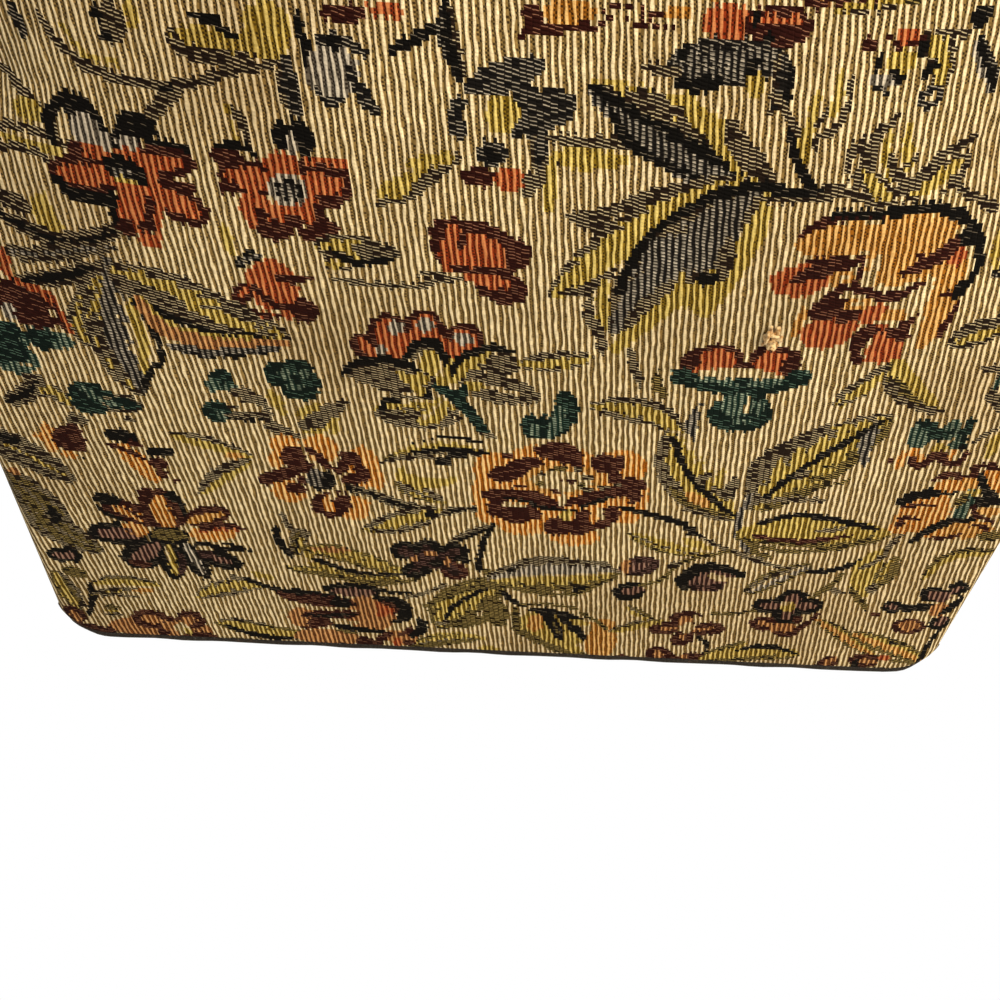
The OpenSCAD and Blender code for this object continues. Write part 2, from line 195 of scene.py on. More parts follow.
@dataclass(frozen=True)
class Blade:
    """A smooth stroke of one yarn, such as a stem, a vein or a leaf.

    Attributes:
        points: places that the stroke's middle passes through.
        width: widest part of the stroke.
        yarn: yarn of the fill.
        taper: 0 for an even stroke, up to 1 for one that thins at both ends.
    """

    points: tuple[tuple[float, float], ...]
    width: float
    yarn: Yarn
    taper: float = 0.0

    def curve(self) -> tuple[np.ndarray, np.ndarray]:
        """Finds the smooth middle line.

        Returns:
            The points of the line, and how far along each lies from 0 to 1.
        """
        path = np.array(self.points, float)
        full = np.vstack([2 * path[0] - path[1], path, 2 * path[-1] - path[-2]])
        t = np.linspace(0, len(path) - 1, 8 * (len(path) - 1) + 1)
        i = np.minimum(t.astype(int), len(path) - 2)
        f = (t - i)[:, None]
        a, b, c, d = (full[i + k] for k in range(4))
        line = 2 * b + (c - a) * f + (2 * a - 5 * b + 4 * c - d) * f**2 + (3 * b - a - 3 * c + d) * f**3
        return 0.5 * line, t / t[-1]

    def measure(self, x: np.ndarray, z: np.ndarray) -> tuple[np.ndarray, ...]:
        """Finds where points lie along and beside the middle line.

        Args:
            x: places across the cloth.
            z: places up the cloth.

        Returns:
            Which points lie near, and for those the length along the line, the distance to its left and the
            half width there.
        """
        line, along = self.curve()
        half = 0.5 * self.width * np.sin(np.pi * (0.04 + 0.92 * along)) ** self.taper
        low, high = line.min(0) - self.width, line.max(0) + self.width
        near = (x > low[0]) & (x < high[0]) & (z > low[1]) & (z < high[1])
        spots = np.stack([x[near], z[near]], -1)[:, None]
        start, step = line[:-1], line[1:] - line[:-1]
        share = np.clip(((spots - start) * step).sum(-1) / (step * step).sum(-1), 0, 1)
        gap = np.linalg.norm(spots - start - share[..., None] * step, axis=-1)
        best = (gap - half[:-1] - (half[1:] - half[:-1]) * share).argmin(1)
        rows = np.arange(len(best))
        share, gap, away = share[rows, best], gap[rows, best], spots[:, 0] - start[best]
        left = np.sign(step[best, 0] * away[:, 1] - step[best, 1] * away[:, 0])
        lengths = np.linalg.norm(step, axis=1)
        run = np.concatenate([[0], np.cumsum(lengths)])[best] + share * lengths[best]
        return near, run, gap * left, half[best] + (half[best + 1] - half[best]) * share

    def paint(self, shown: np.ndarray, x: np.ndarray, z: np.ndarray) -> None:
        """Weaves the stroke.

        Args:
            shown: index of the yarn at each point, changed in place.
            x: places across the cloth.
            z: places up the cloth.
        """
        near, _, off, half = self.measure(x, z)
        shown[near] = np.where(np.abs(off) < half, ORDER[self.yarn], shown[near])


@dataclass(frozen=True)
class Leaf(Blade):
    """A leaf woven in bands that meet in teeth, with a midrib in its own yarn.

    Attributes:
        bands: yarns from its left edge to its right edge, seen from its first point.
        rib: width of the midrib.
        tooth: length of one tooth.
    """

    bands: tuple[Yarn, ...] = (Yarn.BROWN, Yarn.OLIVE, Yarn.OLIVE, Yarn.BROWN)
    rib: float = 1.8
    tooth: float = 5.0

    def paint(self, shown: np.ndarray, x: np.ndarray, z: np.ndarray) -> None:
        """Weaves the leaf.

        Args:
            shown: index of the yarn at each point, changed in place.
            x: places across the cloth.
            z: places up the cloth.
        """
        near, run, off, half = self.measure(x, z)
        split = half * (0.35 + 0.45 * ((run - 0.6 * np.abs(off)) / self.tooth % 1))
        band = np.where(off > 0, np.where(off > split, 0, 1), np.where(-off > split, 3, 2))
        yarn = np.array([ORDER[yarn] for yarn in self.bands])[band]
        yarn[np.abs(off) < 0.5 * self.rib] = ORDER[self.yarn]
        shown[near] = np.where(np.abs(off) < half, yarn, shown[near])


(
    CREAM, OLIVE, MOSS, BROWN, GREY, BLACK, RUST, MAROON, ORANGE,
    GOLD, TEAL, SEA, PLUM, ROSE, ASH, MAUVE, COAL,
) = Yarn

# The woven motifs, each a group of fields of colour laid one over another
LEFT_LEAVES = (
    Blade(((-126, 198), (-119, 194), (-112, 189)), 2.6, BROWN), Blob(-119, 191, 4.4, 2.6, OLIVE),
    Blade(((-128, 186), (-118, 187), (-109, 185.5)), 2, BROWN),
    Blade(((-127, 184), (-118, 184), (-110, 183)), 1.8, OLIVE),
    Blade(((-128, 181.5), (-120, 182.5), (-114, 181)), 2, BROWN), Blob(-117, 169, 5, 4.6, OLIVE, 20),
    Blob(-113, 171, 3.5, 5, CREAM, 30), Blob(-126, 169.4, 4.6, 2.6, BROWN, -12),
    Leaf(((-97, 169.5), (-106, 164.6), (-116, 162), (-132, 166)), 5.4, BLACK, 0.4,
         (BROWN, BROWN, BROWN, BROWN), 1.4),
    Leaf(((-102, 162.6), (-112, 160.4), (-122, 157.6), (-132, 156.4)), 4.6, GREY, 0.4,
         (BROWN, BROWN, BROWN, BROWN), 0.8),
    Leaf(((-102, 158.6), (-112, 154.6), (-120, 151.4), (-130, 149.4)), 5, BLACK, 0.4,
         (BROWN, BROWN, BLACK, BROWN), 1.6),
    Leaf(((-105, 157), (-111, 148), (-115, 140), (-115, 134)), 7.4, OLIVE, 0.6,
         (BROWN, OLIVE, OLIVE, BROWN), 0.6, 4),
    Leaf(((-104, 158), (-107, 144), (-106.5, 132), (-102.5, 120)), 15, GREY, 0.5,
         (CREAM, GREY, OLIVE, BROWN), 3.6, 7),
    Blade(((-101, 148), (-99.4, 138), (-100.6, 126)), 3.4, OLIVE, 0.5),
    Blade(((-110.6, 143), (-110, 134), (-106, 124)), 2.4, BROWN, 0.3),
    Blade(((-102, 154), (-100, 150), (-97, 143)), 2.6, BLACK, 0.1),
    Blade(((-97, 143), (-95.4, 136), (-95.6, 130), (-99, 127), (-102, 120)), 1.8, BLACK, 0.1),
    Leaf(((-103, 155.6), (-92, 152), (-78, 146), (-63, 140.4)), 14, BROWN, 0.5,
         (BROWN, OLIVE, BROWN, BROWN), 1, 6),
    Blade(((-86, 149), (-79, 146), (-70, 142.4)), 3.4, OLIVE, 0.4),
    Blade(((-97, 149), (-91, 144.6), (-80, 140.6), (-66, 140)), 1.8, BLACK, 0.3),
    Blade(((-82, 148.6), (-72, 146.4), (-66, 143)), 2.6, BROWN, 0.4), Blob(-78, 146.4, 4, 1.2, OLIVE, -20),
    Leaf(((-98, 149), (-93, 141), (-80, 137.6), (-62, 138.4)), 5.6, ROSE, 0.4,
         (OLIVE, ROSE, ROSE, ROSE), 0.4, 3),
    Blade(((-93, 135.6), (-82, 133.6), (-64, 136.2)), 3.4, GREY, 0.4),
    Blade(((-92, 134.4), (-80, 132.6), (-66, 135)), 1, BLACK, 0.3),
)
FEATHERS = (
    Blade(((78.6, 204), (75, 200), (75, 193), (72, 188)), 2.8, BROWN, 0.3),
    Blade(((72, 200), (73, 194), (71.4, 191.4)), 1.6, BROWN, 0.2),
    Blade(((77.6, 201), (78.4, 196), (80.6, 191)), 2.2, OLIVE, 0.3),
    Blade(((82, 202), (83.4, 196), (84.4, 193)), 2.6, OLIVE, 0.3),
    Blade(((79.4, 196), (81.4, 192.4), (85, 190), (90, 192.4)), 2, BROWN, 0.2),
    Blade(((86, 196), (83, 193)), 1.2, BROWN),
    Blade(((99, 199), (94, 196.6), (90, 193.4), (87, 189), (83, 187)), 2.6, BROWN, 0.3),
    Leaf(((98, 195), (93, 191), (86.6, 186.6)), 4.6, OLIVE, 0.5, (OLIVE, OLIVE, OLIVE, BROWN), 0.6, 3),
    Blade(((98.6, 196), (98, 190), (94, 187.4)), 1.6, BROWN, 0.2),
    Blade(((96, 190.5), (101, 186.5), (109, 182.5)), 2.2, BROWN),
    Leaf(((74, 192), (78, 189), (82, 186)), 5, OLIVE, 0.4, (BROWN, OLIVE, OLIVE, BROWN), 0.6, 3),
    Blob(85, 189, 2.6, 1.8, BROWN), Blade(((74, 186.6), (80, 185.4), (88, 186)), 1.2, BROWN),
    Blade(((60, 196), (62, 199.6), (66, 203)), 1.6, BROWN, 0.2),
)
TOP = (
    Blade(((-118, 213), (-117, 207.4)), 3.6, COAL, 0.3),
    Blade(((-111, 212.6), (-107, 206.6), (-99, 202.8), (-86, 202), (-77, 203.4), (-69, 206.4), (-59,
         208.6)), 2.5, BROWN, 0.2),
    Blade(((-106.4, 212), (-101, 206), (-92, 205)), 1.4, OLIVE, 0.5), Blob(-82.6, 201.2, 2.8, 1.2, BLACK),
    Leaf(((-80, 201), (-85, 198), (-90, 192.6)), 3.4, BROWN, 0.4, (BROWN, BROWN, BROWN, BROWN), 0.6),
    Blob(-94, 213.4, 3.2, 4.2, BROWN), Blob(-97.2, 214.8, 1.5, 1.6, BLACK),
    Blob(-95.6, 210.4, 1.5, 1.4, BLACK), Blob(-89.2, 215.6, 1.6, 2.8, OLIVE),
    Leaf(((-81, 212), (-74, 211), (-63, 210.4)), 7.4, OLIVE, 0.5, (OLIVE, OLIVE, BROWN, BROWN), 0.8, 4),
    Blade(((-77, 216.4), (-72, 216), (-67, 213.4)), 2.2, BLACK, 0.3),
    Blade(((-81, 213.4), (-77, 209.6), (-69, 208.8)), 1.8, BROWN, 0.3), Blob(-60, 215, 5.6, 5.4, OLIVE),
    Blade(((-53.4, 218), (-51.6, 212), (-50.8, 206.4)), 2.6, BLACK, 0.2),
    Blob(-46, 207.6, 6, 5.4, ASH, -20),
    Leaf(((-56.6, 210), (-56, 204), (-54, 199)), 4.8, COAL, 0.4, (COAL, COAL, COAL, BROWN), 0.6),
    Blade(((-49, 213.6), (-44.6, 214), (-39, 212)), 2.8, COAL, 0.3), Blob(-45.6, 213.6, 1.6, 1.6, BLACK),
    Blade(((-42.6, 208.4), (-40, 204.6), (-37, 200.6)), 3.4, COAL, 0.3),
    Blade(((-50, 204.6), (-47, 201.6), (-44, 203)), 1.8, COAL, 0.3), Blob(-43.6, 219, 5, 1.7, MAROON),
    Blob(-34.4, 220, 4, 1.4, RUST), Blade(((-33, 212.8), (-28.4, 215), (-22, 218.4)), 2.7, BLACK, 0.2),
    Leaf(((-22, 221), (-21, 215), (-18.4, 208.6)), 4.6, BLACK, 0.3, (BROWN, BLACK, BLACK, COAL), 0.8),
    Blade(((-69, 200), (-67, 196), (-65, 191)), 2.2, BROWN, 0.5), Blade(((-70, 199), (-69, 193)), 1, OLIVE),
    Leaf(((-16.6, 206.6), (-9, 208.8), (-1.6, 211.6)), 6.4, COAL, 0.4, (COAL, COAL, COAL, COAL), 0.4),
    Blob(-18.4, 200.2, 2.8, 4.4, COAL),
    Leaf(((-5.6, 199.4), (-1, 202), (6, 204.4)), 9, COAL, 0.5, (COAL, COAL, COAL, COAL), 0.4),
    Blob(-3.6, 205, 3.4, 2.4, COAL), Blob(-10.6, 193.2, 3.8, 2.9, COAL), Blob(-10.6, 193, 2, 1.6, BLACK),
    Leaf(((-1, 197), (0.4, 192.6), (1, 188)), 4.6, COAL, 0.4, (COAL, COAL, COAL, BROWN), 0.4),
    Blob(-12, 201.2, 5.4, 4.2, CREAM), Blob(-8.8, 201.4, 3.8, 4.2, OLIVE),
    Blob(-13.4, 187.8, 4.2, 2.2, MAROON), Blob(-6.6, 187.4, 3.6, 2.6, RUST), Blob(-2, 186.4, 1.6, 3, BROWN),
    Blob(-3.4, 220.2, 2.6, 2.4, MAROON), Blob(4.4, 221.4, 5.4, 2.4, GOLD),
    Blade(((-6, 217), (2, 218.4), (11, 219.2)), 1.6, MAROON, 0.2),
    Leaf(((12, 222), (18, 221.4), (26, 220.4)), 3.4, CREAM, 0.3, (MAROON, CREAM, CREAM, MAROON), 0.6, 3),
    Blob(27, 222.4, 3, 1.4, GOLD), Blob(37.6, 221, 5.4, 3.4, RUST),
    Leaf(((43, 221.6), (48, 221), (54, 221)), 7.4, MAROON, 0.3, (MAROON, RUST, MAROON, MAROON), 0.6, 4),
    Blob(43.4, 222.4, 1, 1.8, BLACK), Blob(46.6, 218.6, 1, 1.8, BLACK),
    Leaf(((28, 213.4), (37, 213.6), (50, 214.6)), 9.6, COAL, 0.4, (COAL, GREY, GREY, COAL), 0.6, 4),
    Blade(((29, 209.4), (34, 209.4), (38, 210.4)), 3.2, BLACK, 0.3), Blob(29.4, 215.4, 1.2, 1.8, BLACK),
    Blob(44.6, 213, 1.4, 2.4, BLACK), Blade(((21, 212.4), (25, 212), (29, 211.4)), 2.2, BROWN, 0.4),
    Blade(((52.8, 214), (53.2, 207)), 2.2, BLACK, 0.2), Blob(45.6, 209.6, 2.2, 2.6, OLIVE),
    Leaf(((50.4, 216), (50.6, 211), (50.6, 205)), 3.2, COAL, 0.3, (COAL, COAL, BROWN, BROWN), 0.6),
    Blob(59.5, 205, 1.3, 5.2, OLIVE), Blade(((64, 213), (64, 204)), 2.2, OLIVE, 0.3),
    Blade(((66.6, 212), (66.8, 206), (65, 201.6), (61, 200)), 1.7, BROWN, 0.2),
    Blade(((62.4, 205.6), (61, 202.6)), 1.6, BROWN, 0.2),
    Leaf(((60, 224), (66, 225), (74, 226)), 2.6, OLIVE, 0.4, (OLIVE, OLIVE, BROWN, BROWN), 0.6),
    Leaf(((80.6, 219.6), (85, 217), (86.6, 211)), 6.4, OLIVE, 0.4, (BROWN, OLIVE, OLIVE, BROWN), 0.8, 4),
    Blob(76.6, 215.4, 3.4, 2.2, OLIVE), Blob(71.5, 215, 0.9, 1.6, BLACK),
    Blade(((75, 213.6), (77.6, 211.4)), 1.6, BLACK), Blob(80.9, 217.6, 1.3, 2, BLACK),
    Blade(((84.4, 214.6), (82.4, 212.4)), 2.2, BLACK), Blob(76.6, 219.8, 2.8, 1.5, RUST),
    Blob(68.6, 218.4, 2, 1.2, MAROON), Blade(((72, 219.8), (76, 218), (80, 219.6)), 1, MAROON),
    Blob(73, 211.4, 2.4, 1.8, ASH), Blade(((71.4, 210.8), (75, 208.8)), 1.2, COAL),
    Blob(84.8, 208, 2.8, 2.2, COAL), Blob(85, 208.2, 1.3, 0.9, CREAM), Blob(91.6, 224, 2.4, 2.2, BLACK),
    Blade(((90, 220.4), (84, 220.6)), 1.3, BROWN),
    Leaf(((92.6, 219.6), (95.4, 215), (99.6, 209.6)), 4.4, BLACK, 0.4, (COAL, BLACK, ASH, ASH), 1.6),
)
GREY_LEAF = (
    Blob(11, 193, 9, 2.4, OLIVE), Blade(((2, 197), (10, 196.8), (21, 196.4)), 2.4, BROWN, 0.2),
    Blade(((1, 187), (3, 192)), 3.4, BROWN), Blob(3, 185, 1.6, 5, OLIVE), Blob(19, 197, 4, 1.8, BROWN),
    Blob(3, 191, 1.4, 3, OLIVE),
    Leaf(((52, 189.6), (40, 194.6), (28, 200), (11, 207.5)), 15, BLACK, 0.7,
         (GREY, GREY, BROWN, OLIVE), 2.8, 6),
    Blade(((31, 207), (37, 201), (44, 194.6), (53, 190)), 3.2, OLIVE, 0.3),
    Leaf(((53, 191), (46, 196), (41, 202.5)), 5.4, BROWN, 0.5, (BROWN, BROWN, BROWN, BROWN), 0.4),
    Blade(((14, 207), (17, 200), (24, 194.6), (36, 190.6)), 2.2, BLACK, 0.6),
    Blob(24, 205, 5, 2.6, BROWN, -20),
    Leaf(((46, 189.4), (34, 185), (22, 176), (13, 167), (6.5, 159)), 9.4, OLIVE, 0.45,
         (OLIVE, OLIVE, OLIVE, BROWN), 0.5, 6.5),
    Blade(((8, 180), (16, 181), (26, 186), (40, 190.2)), 3, BROWN, 0.4),
    Blade(((8, 180), (13, 177.4), (19, 179)), 2.6, BROWN, 0.4),
    Leaf(((53, 187), (51.4, 177), (47.6, 166), (44, 155.5)), 6, OLIVE, 0.4,
         (OLIVE, OLIVE, OLIVE, OLIVE), 0.5),
    Leaf(((45, 168), (36, 163), (29, 154), (23, 143)), 8, OLIVE, 0.4, (OLIVE, OLIVE, OLIVE, CREAM), 0.5),
    Blob(43.6, 160, 3.6, 5, OLIVE),
    Leaf(((50, 187), (42, 180), (34, 171), (27, 161), (22, 149)), 17, GREY, 0.8,
         (BROWN, GREY, GREY, BROWN), 0.4, 7),
    Blob(41.5, 176, 6.4, 8.4, GREY, -20), Blob(46, 171, 2.2, 6, BROWN), Blob(31, 171, 5, 6, GREY, -30),
    Leaf(((38, 166), (31, 159), (25, 152)), 5, BROWN, 0.5, (BROWN, BROWN, BROWN, BROWN), 0.4),
    Blade(((42, 159), (36, 158.5), (30, 152), (24, 144)), 4.4, OLIVE, 0.35),
    Blade(((7.5, 159.5), (14, 161), (20, 166.4)), 3.4, BROWN, 0.4),
    Blade(((18, 164), (18.4, 158), (19.4, 150)), 3.2, OLIVE, 0.2),
    Blade(((14.6, 159), (15.2, 154), (18.4, 148), (20.4, 141)), 3.2, BROWN, 0.4),
    Blade(((36.5, 167.5), (36, 162), (33, 158.6)), 2, OLIVE, 0.3),
    Blade(((22, 161), (23.4, 168), (27.4, 176), (33, 181.6), (41, 186.6), (52, 189.4)), 2.6, BLACK),
    Blob(42.6, 165.6, 2.7, 1.9, BLACK), Blade(((52, 189), (58, 188), (66, 188.6)), 2.4, BLACK),
    Blade(((63, 188.5), (59, 194), (55.5, 201)), 3, BLACK, 0.2),
    Blade(((57, 201), (54, 204), (51, 208)), 2, BROWN),
    Blade(((66, 189), (72, 188), (80, 184.5)), 2.6, BROWN, 0.2),
    Blade(((52, 186), (58, 186), (68, 187)), 1.6, BROWN), Blob(70, 196, 1.2, 4, BROWN),
    Blob(59, 198.5, 1.6, 4.4, OLIVE, 12),
)
RUST_STAR = (
    Blade(((-113, 186), (-113.5, 191), (-109, 195.6)), 3.2, BLACK, 0.2),
    Blob(-106.5, 194.4, 4.8, 3, BLACK, -10),
    Blade(((-103, 196), (-100.5, 192.5), (-98.5, 189)), 1.8, BLACK, 0.3), Blob(-104.5, 190, 4, 3.4, ASH),
    Blob(-101, 188, 3.6, 2, ASH), Blob(-91.8, 192.6, 5, 3, BLACK), Blob(-96, 189.4, 2.6, 2.2, BLACK, 40),
    Blob(-94.5, 188.4, 3.2, 1.6, ASH), Blade(((-90, 189.2), (-84, 189.6), (-79.6, 189)), 2.2, BLACK, 0.3),
    Blob(-103, 185, 3.4, 2.4, RUST), Blob(-107.6, 185, 2.2, 1.6, MAROON),
    Petal(-106.5, 179.4, 9, 4.4, RUST, 188, MAROON, 2),
    Blade(((-114.5, 177.6), (-110, 174.8), (-104, 174.4), (-98, 174.8)), 3.2, BLACK, 0.4),
    Petal(-86.5, 185.4, 8, 3.8, RUST, 4, MAROON, 2.2), Petal(-83.5, 176, 7.4, 4.6, RUST, -25, MAROON, 2.2),
    Blob(-82, 180.4, 2.6, 1.2, MAROON), Blob(-94.5, 182, 6.6, 5.4, RUST), Blob(-90, 177.5, 3, 5, RUST),
    Blob(-95.6, 173, 3.6, 5.4, RUST, -8),
    Blade(((-94.6, 167.6), (-91.4, 171), (-90.8, 176)), 3.4, MAROON, 0.3),
    Blade(((-100.2, 176.6), (-100.2, 171), (-97.6, 166.4)), 2.6, BLACK, 0.2),
    Blob(-98, 168.4, 2.4, 2, MAROON), Blade(((-89.4, 180), (-89, 174), (-90.4, 167)), 1.8, RUST),
    Blob(-92.4, 166, 2.8, 2.2, RUST), Blob(-96, 182.6, 5.2, 2.8, BLACK, -12),
    Blob(-92.4, 181, 2, 1.8, BLACK), Blob(-96.5, 180, 3.4, 0.8, OLIVE), Blob(-97, 181.6, 2.6, 0.8, GREY),
)
ROUND_STAR = (
    Blob(-71, 188.2, 4, 2.6, MAROON), Blade(((-73, 190.4), (-69, 191.4), (-64, 189.6)), 2, BLACK, 0.3),
    Petal(-66.5, 184, 7.2, 4.4, RUST, 180, MAROON, 1.8), Blob(-71, 181.4, 2.6, 1.6, MAROON),
    Blob(-66, 180.3, 3.4, 1, MAROON), Blob(-58, 188, 5, 2.6, RUST), Blob(-58, 194.4, 2.6, 3.2, BLACK),
    Blob(-54.6, 195.4, 2.4, 2.4, BLACK), Blob(-52.6, 193, 1.8, 3.4, BLACK), Blob(-56, 192.2, 1.2, 2.4, ASH),
    Blob(-50, 187.6, 5, 2.6, RUST), Blade(((-54, 189.4), (-53.4, 185)), 1.4, MAROON, 0.2),
    Petal(-48.5, 184, 6, 4.8, RUST, 5, MAROON, 1.8), Blob(-46, 187.6, 3.2, 1.6, MAROON, 12),
    Blob(-45, 189, 2, 1.2, RUST), Blob(-47.6, 179.6, 2.6, 1.6, MAROON), Blob(-65.4, 176.4, 4, 4.8, RUST, 8),
    Blob(-55, 178, 4.6, 4, RUST), Blob(-57.6, 174, 3, 2.2, MAROON, 20),
    Blob(-61.4, 171.8, 4.2, 2.8, MAROON, 12), Blob(-64, 174.6, 1.6, 2.6, MAROON, 30),
    Blob(-50.2, 173.6, 4.4, 2.6, MAROON, -12), Blob(-53, 171.4, 3, 2, MAROON),
    Blob(-51, 177.2, 1.6, 2, MAROON), Blob(-60.4, 176.4, 1.2, 2.6, RUST), Blob(-53, 176.4, 1.2, 2.2, RUST),
    Blob(-57.6, 182, 4.6, 3.8, ASH), Blob(-57.4, 182, 3.4, 2.6, BLACK), Blob(-57.4, 181.6, 2.6, 1.8, GREY),
    Blade(((-73.6, 172), (-73.2, 168), (-72, 164)), 2.8, OLIVE, 0.4),
    Leaf(((-71.6, 161.6), (-69, 163.6), (-65.5, 165)), 3.4, GREY, 0.5, (BLACK, BROWN, BROWN, BLACK), 0.6),
)
BUD = (
    Blob(-63.4, 156.4, 6.6, 7.6, RUST),
    Blade(((-62.4, 158.8), (-58.6, 158.4), (-53.6, 159.2)), 2.6, MAROON, 0.5),
    Blade(((-62, 159.4), (-59.4, 157), (-57.4, 157.6)), 1.6, MAROON, 0.4),
    Petal(-71, 153.6, 3.6, 2.4, RUST, 230, MAROON, 1.6),
    Blade(((-68.4, 156), (-66, 153), (-63.4, 151.4)), 1.7, MAROON, 0.3),
    Blade(((-66, 152), (-61, 149.8), (-56, 149.6)), 3, MAROON, 0.4), Blob(-56.6, 149, 4, 4, MAROON, -30),
    Blob(-56.8, 152, 1.6, 2, MAROON), Blob(-60.4, 154.4, 3, 3.2, RUST), Blob(-66, 147.4, 2.8, 1.5, RUST),
    Blade(((-69.6, 148.6), (-66, 146.8), (-61, 147)), 1.4, MAROON, 0.3), Blob(-60.6, 147.4, 1.2, 1.6, RUST),
)
SMALL_LEAF = (
    Leaf(((-51, 168.6), (-44, 168.4), (-33, 167.4)), 7.4, OLIVE, 0.55, (BROWN, OLIVE, OLIVE, BROWN), 0.6, 4),
    Leaf(((-42, 168), (-37, 168.6), (-32, 167.4)), 4, BROWN, 0.4, (BROWN, BROWN, BROWN, BROWN), 0.6),
    Blade(((-48.6, 167.4), (-44, 164.8), (-39, 164.6), (-33, 166.4)), 2.2, BLACK, 0.35),
    Blade(((-50, 167), (-49, 163.4), (-44, 162.4)), 1.8, BROWN, 0.3), Blob(-47.6, 163.6, 2, 1.4, OLIVE),
    Blade(((-48, 159), (-38, 158.5), (-28, 158.5), (-22, 160.5), (-15, 161.5)), 1.9, BROWN, 0.1),
    Blade(((-27, 162), (-20, 162)), 2.2, BROWN, 0.4), Blob(-29, 186.5, 9, 1.6, OLIVE, 28),
    Blade(((-36, 180.3), (-28, 184), (-18.5, 192)), 3.4, BROWN, 0.4), Blob(-32.5, 184, 3.2, 2.2, OLIVE),
    Blob(-25, 191, 6, 1.5, OLIVE, 10),
)
POPPY = (
    Blob(-13.5, 169.6, 11.6, 7.6, MAROON, -14), Blob(-5.4, 169, 5.4, 4.6, MAROON),
    Blob(-7.4, 160, 7.4, 4.8, MAROON, -22), Blob(-21.6, 173, 3.4, 4.2, MAROON),
    Blob(-18.6, 175.6, 3, 2, MAROON), Blob(-14, 169.4, 8.2, 4.6, RUST, -8),
    Blob(-19.8, 167.6, 2.4, 4.6, RUST), Blob(-19.4, 174, 2, 1.8, RUST),
    Blob(-10.6, 161.6, 6, 2.2, RUST, -8), Blob(-17, 171.8, 1, 2.4, MAROON),
    Blade(((-19, 164.4), (-11, 164), (-3, 166.4)), 1.5, MAROON), Blob(-8.6, 166.6, 3, 1.6, RUST),
)
FAN = (
    Petal(-41.4, 138.8, 4.6, 3.6, RUST, 120, MAROON, 1.8),
    Petal(-35, 142.6, 7.2, 5.6, RUST, 100, MAROON, 1.7), Petal(-26, 144, 7.4, 5.4, RUST, 88, MAROON, 1.7),
    Petal(-15.6, 142.4, 5.4, 5.2, RUST, 70, MAROON, 1.7), Blob(-28, 140, 9, 4.4, RUST),
    Blob(-35, 137, 5.4, 2.4, RUST), Blob(-19, 138.6, 2.6, 3.4, RUST), Blob(-33.2, 145, 2.4, 2.2, ASH),
    Blob(-26, 146.4, 2.2, 2.2, ASH), Blob(-16.2, 142.8, 2.9, 1.9, ASH), Blob(-37.6, 137.6, 1.6, 1.5, ASH),
    Blade(((-30.6, 149), (-30.8, 144)), 0.9, MAROON), Blade(((-20.8, 147.6), (-20.6, 143)), 0.9, MAROON),
    Blob(-25.6, 135.4, 4, 4.6, BROWN), Blob(-24.6, 133, 2.6, 5.4, OLIVE),
    Blade(((-27.6, 137), (-27.8, 132)), 1.4, CREAM, 0.2),
    Blade(((-30.4, 135.6), (-28.6, 139.6), (-25, 141), (-22, 139.4), (-19.6, 132.4)), 2.8, BLACK, 0.15),
    Leaf(((-18.6, 129), (-15, 133.6), (-9.4, 138)), 8.4, OLIVE, 0.4, (OLIVE, OLIVE, OLIVE, BROWN), 0.5, 4),
    Blade(((-19, 131), (-17.4, 135), (-13.6, 138.6), (-9, 140.6), (-3, 140)), 2.5, BLACK, 0.2),
    Blob(-5.6, 135.4, 4.4, 3.8, BROWN),
    Leaf(((-24, 127.4), (-30, 127.6), (-38, 128.4), (-46.6, 130)), 9.6, BROWN, 0.5,
         (BROWN, BROWN, BROWN, BROWN), 0.6),
    Blade(((-33, 130), (-29, 126.6), (-26.6, 122.6)), 3.4, OLIVE, 0.3), Blob(-27, 128.4, 2.4, 2, OLIVE),
    Blade(((-38, 124), (-31, 121.6), (-26, 121.2)), 1.8, BROWN, 0.3),
    Blade(((-47.4, 129), (-44, 132.4), (-38, 134), (-31, 133.4), (-28.6, 131)), 3, BLACK, 0.25),
    Blob(-25, 122.2, 0.9, 1.9, BLACK),
    Leaf(((-14, 129.4), (-7, 126.6), (4, 124.6)), 10, CREAM, 0.5, (BROWN, BROWN, BROWN, BROWN), 1.2, 4),
    Blob(-13, 127, 3, 1.8, OLIVE), Blob(-21, 128, 2, 2.4, OLIVE),
    Blade(((-22.6, 125.8), (-19, 123.4), (-15.4, 119.6), (-12, 114.4), (-8.4, 109.6)), 3.6, TEAL, 0.15),
    Blade(((-15.6, 126.4), (-16.4, 121)), 3.4, TEAL, 0.2),
    Blade(((-10, 109.6), (-6, 108.6)), 1.5, BROWN, 0.3),
    Leaf(((-18, 117.4), (-25, 115.6), (-32, 114.4), (-38.6, 116)), 9.4, BROWN, 0.5,
         (BROWN, BROWN, BROWN, OLIVE), 0.6, 4),
    Leaf(((-21, 121), (-23, 116), (-27, 113)), 5.4, OLIVE, 0.4, (OLIVE, OLIVE, CREAM, OLIVE), 0.5, 4),
    Blade(((-33, 119.8), (-37, 119), (-37.8, 114.6)), 2.4, BLACK, 0.3),
    Blade(((-36, 113), (-28, 110.6), (-20, 112.4), (-15.6, 115)), 2, BROWN, 0.3),
)
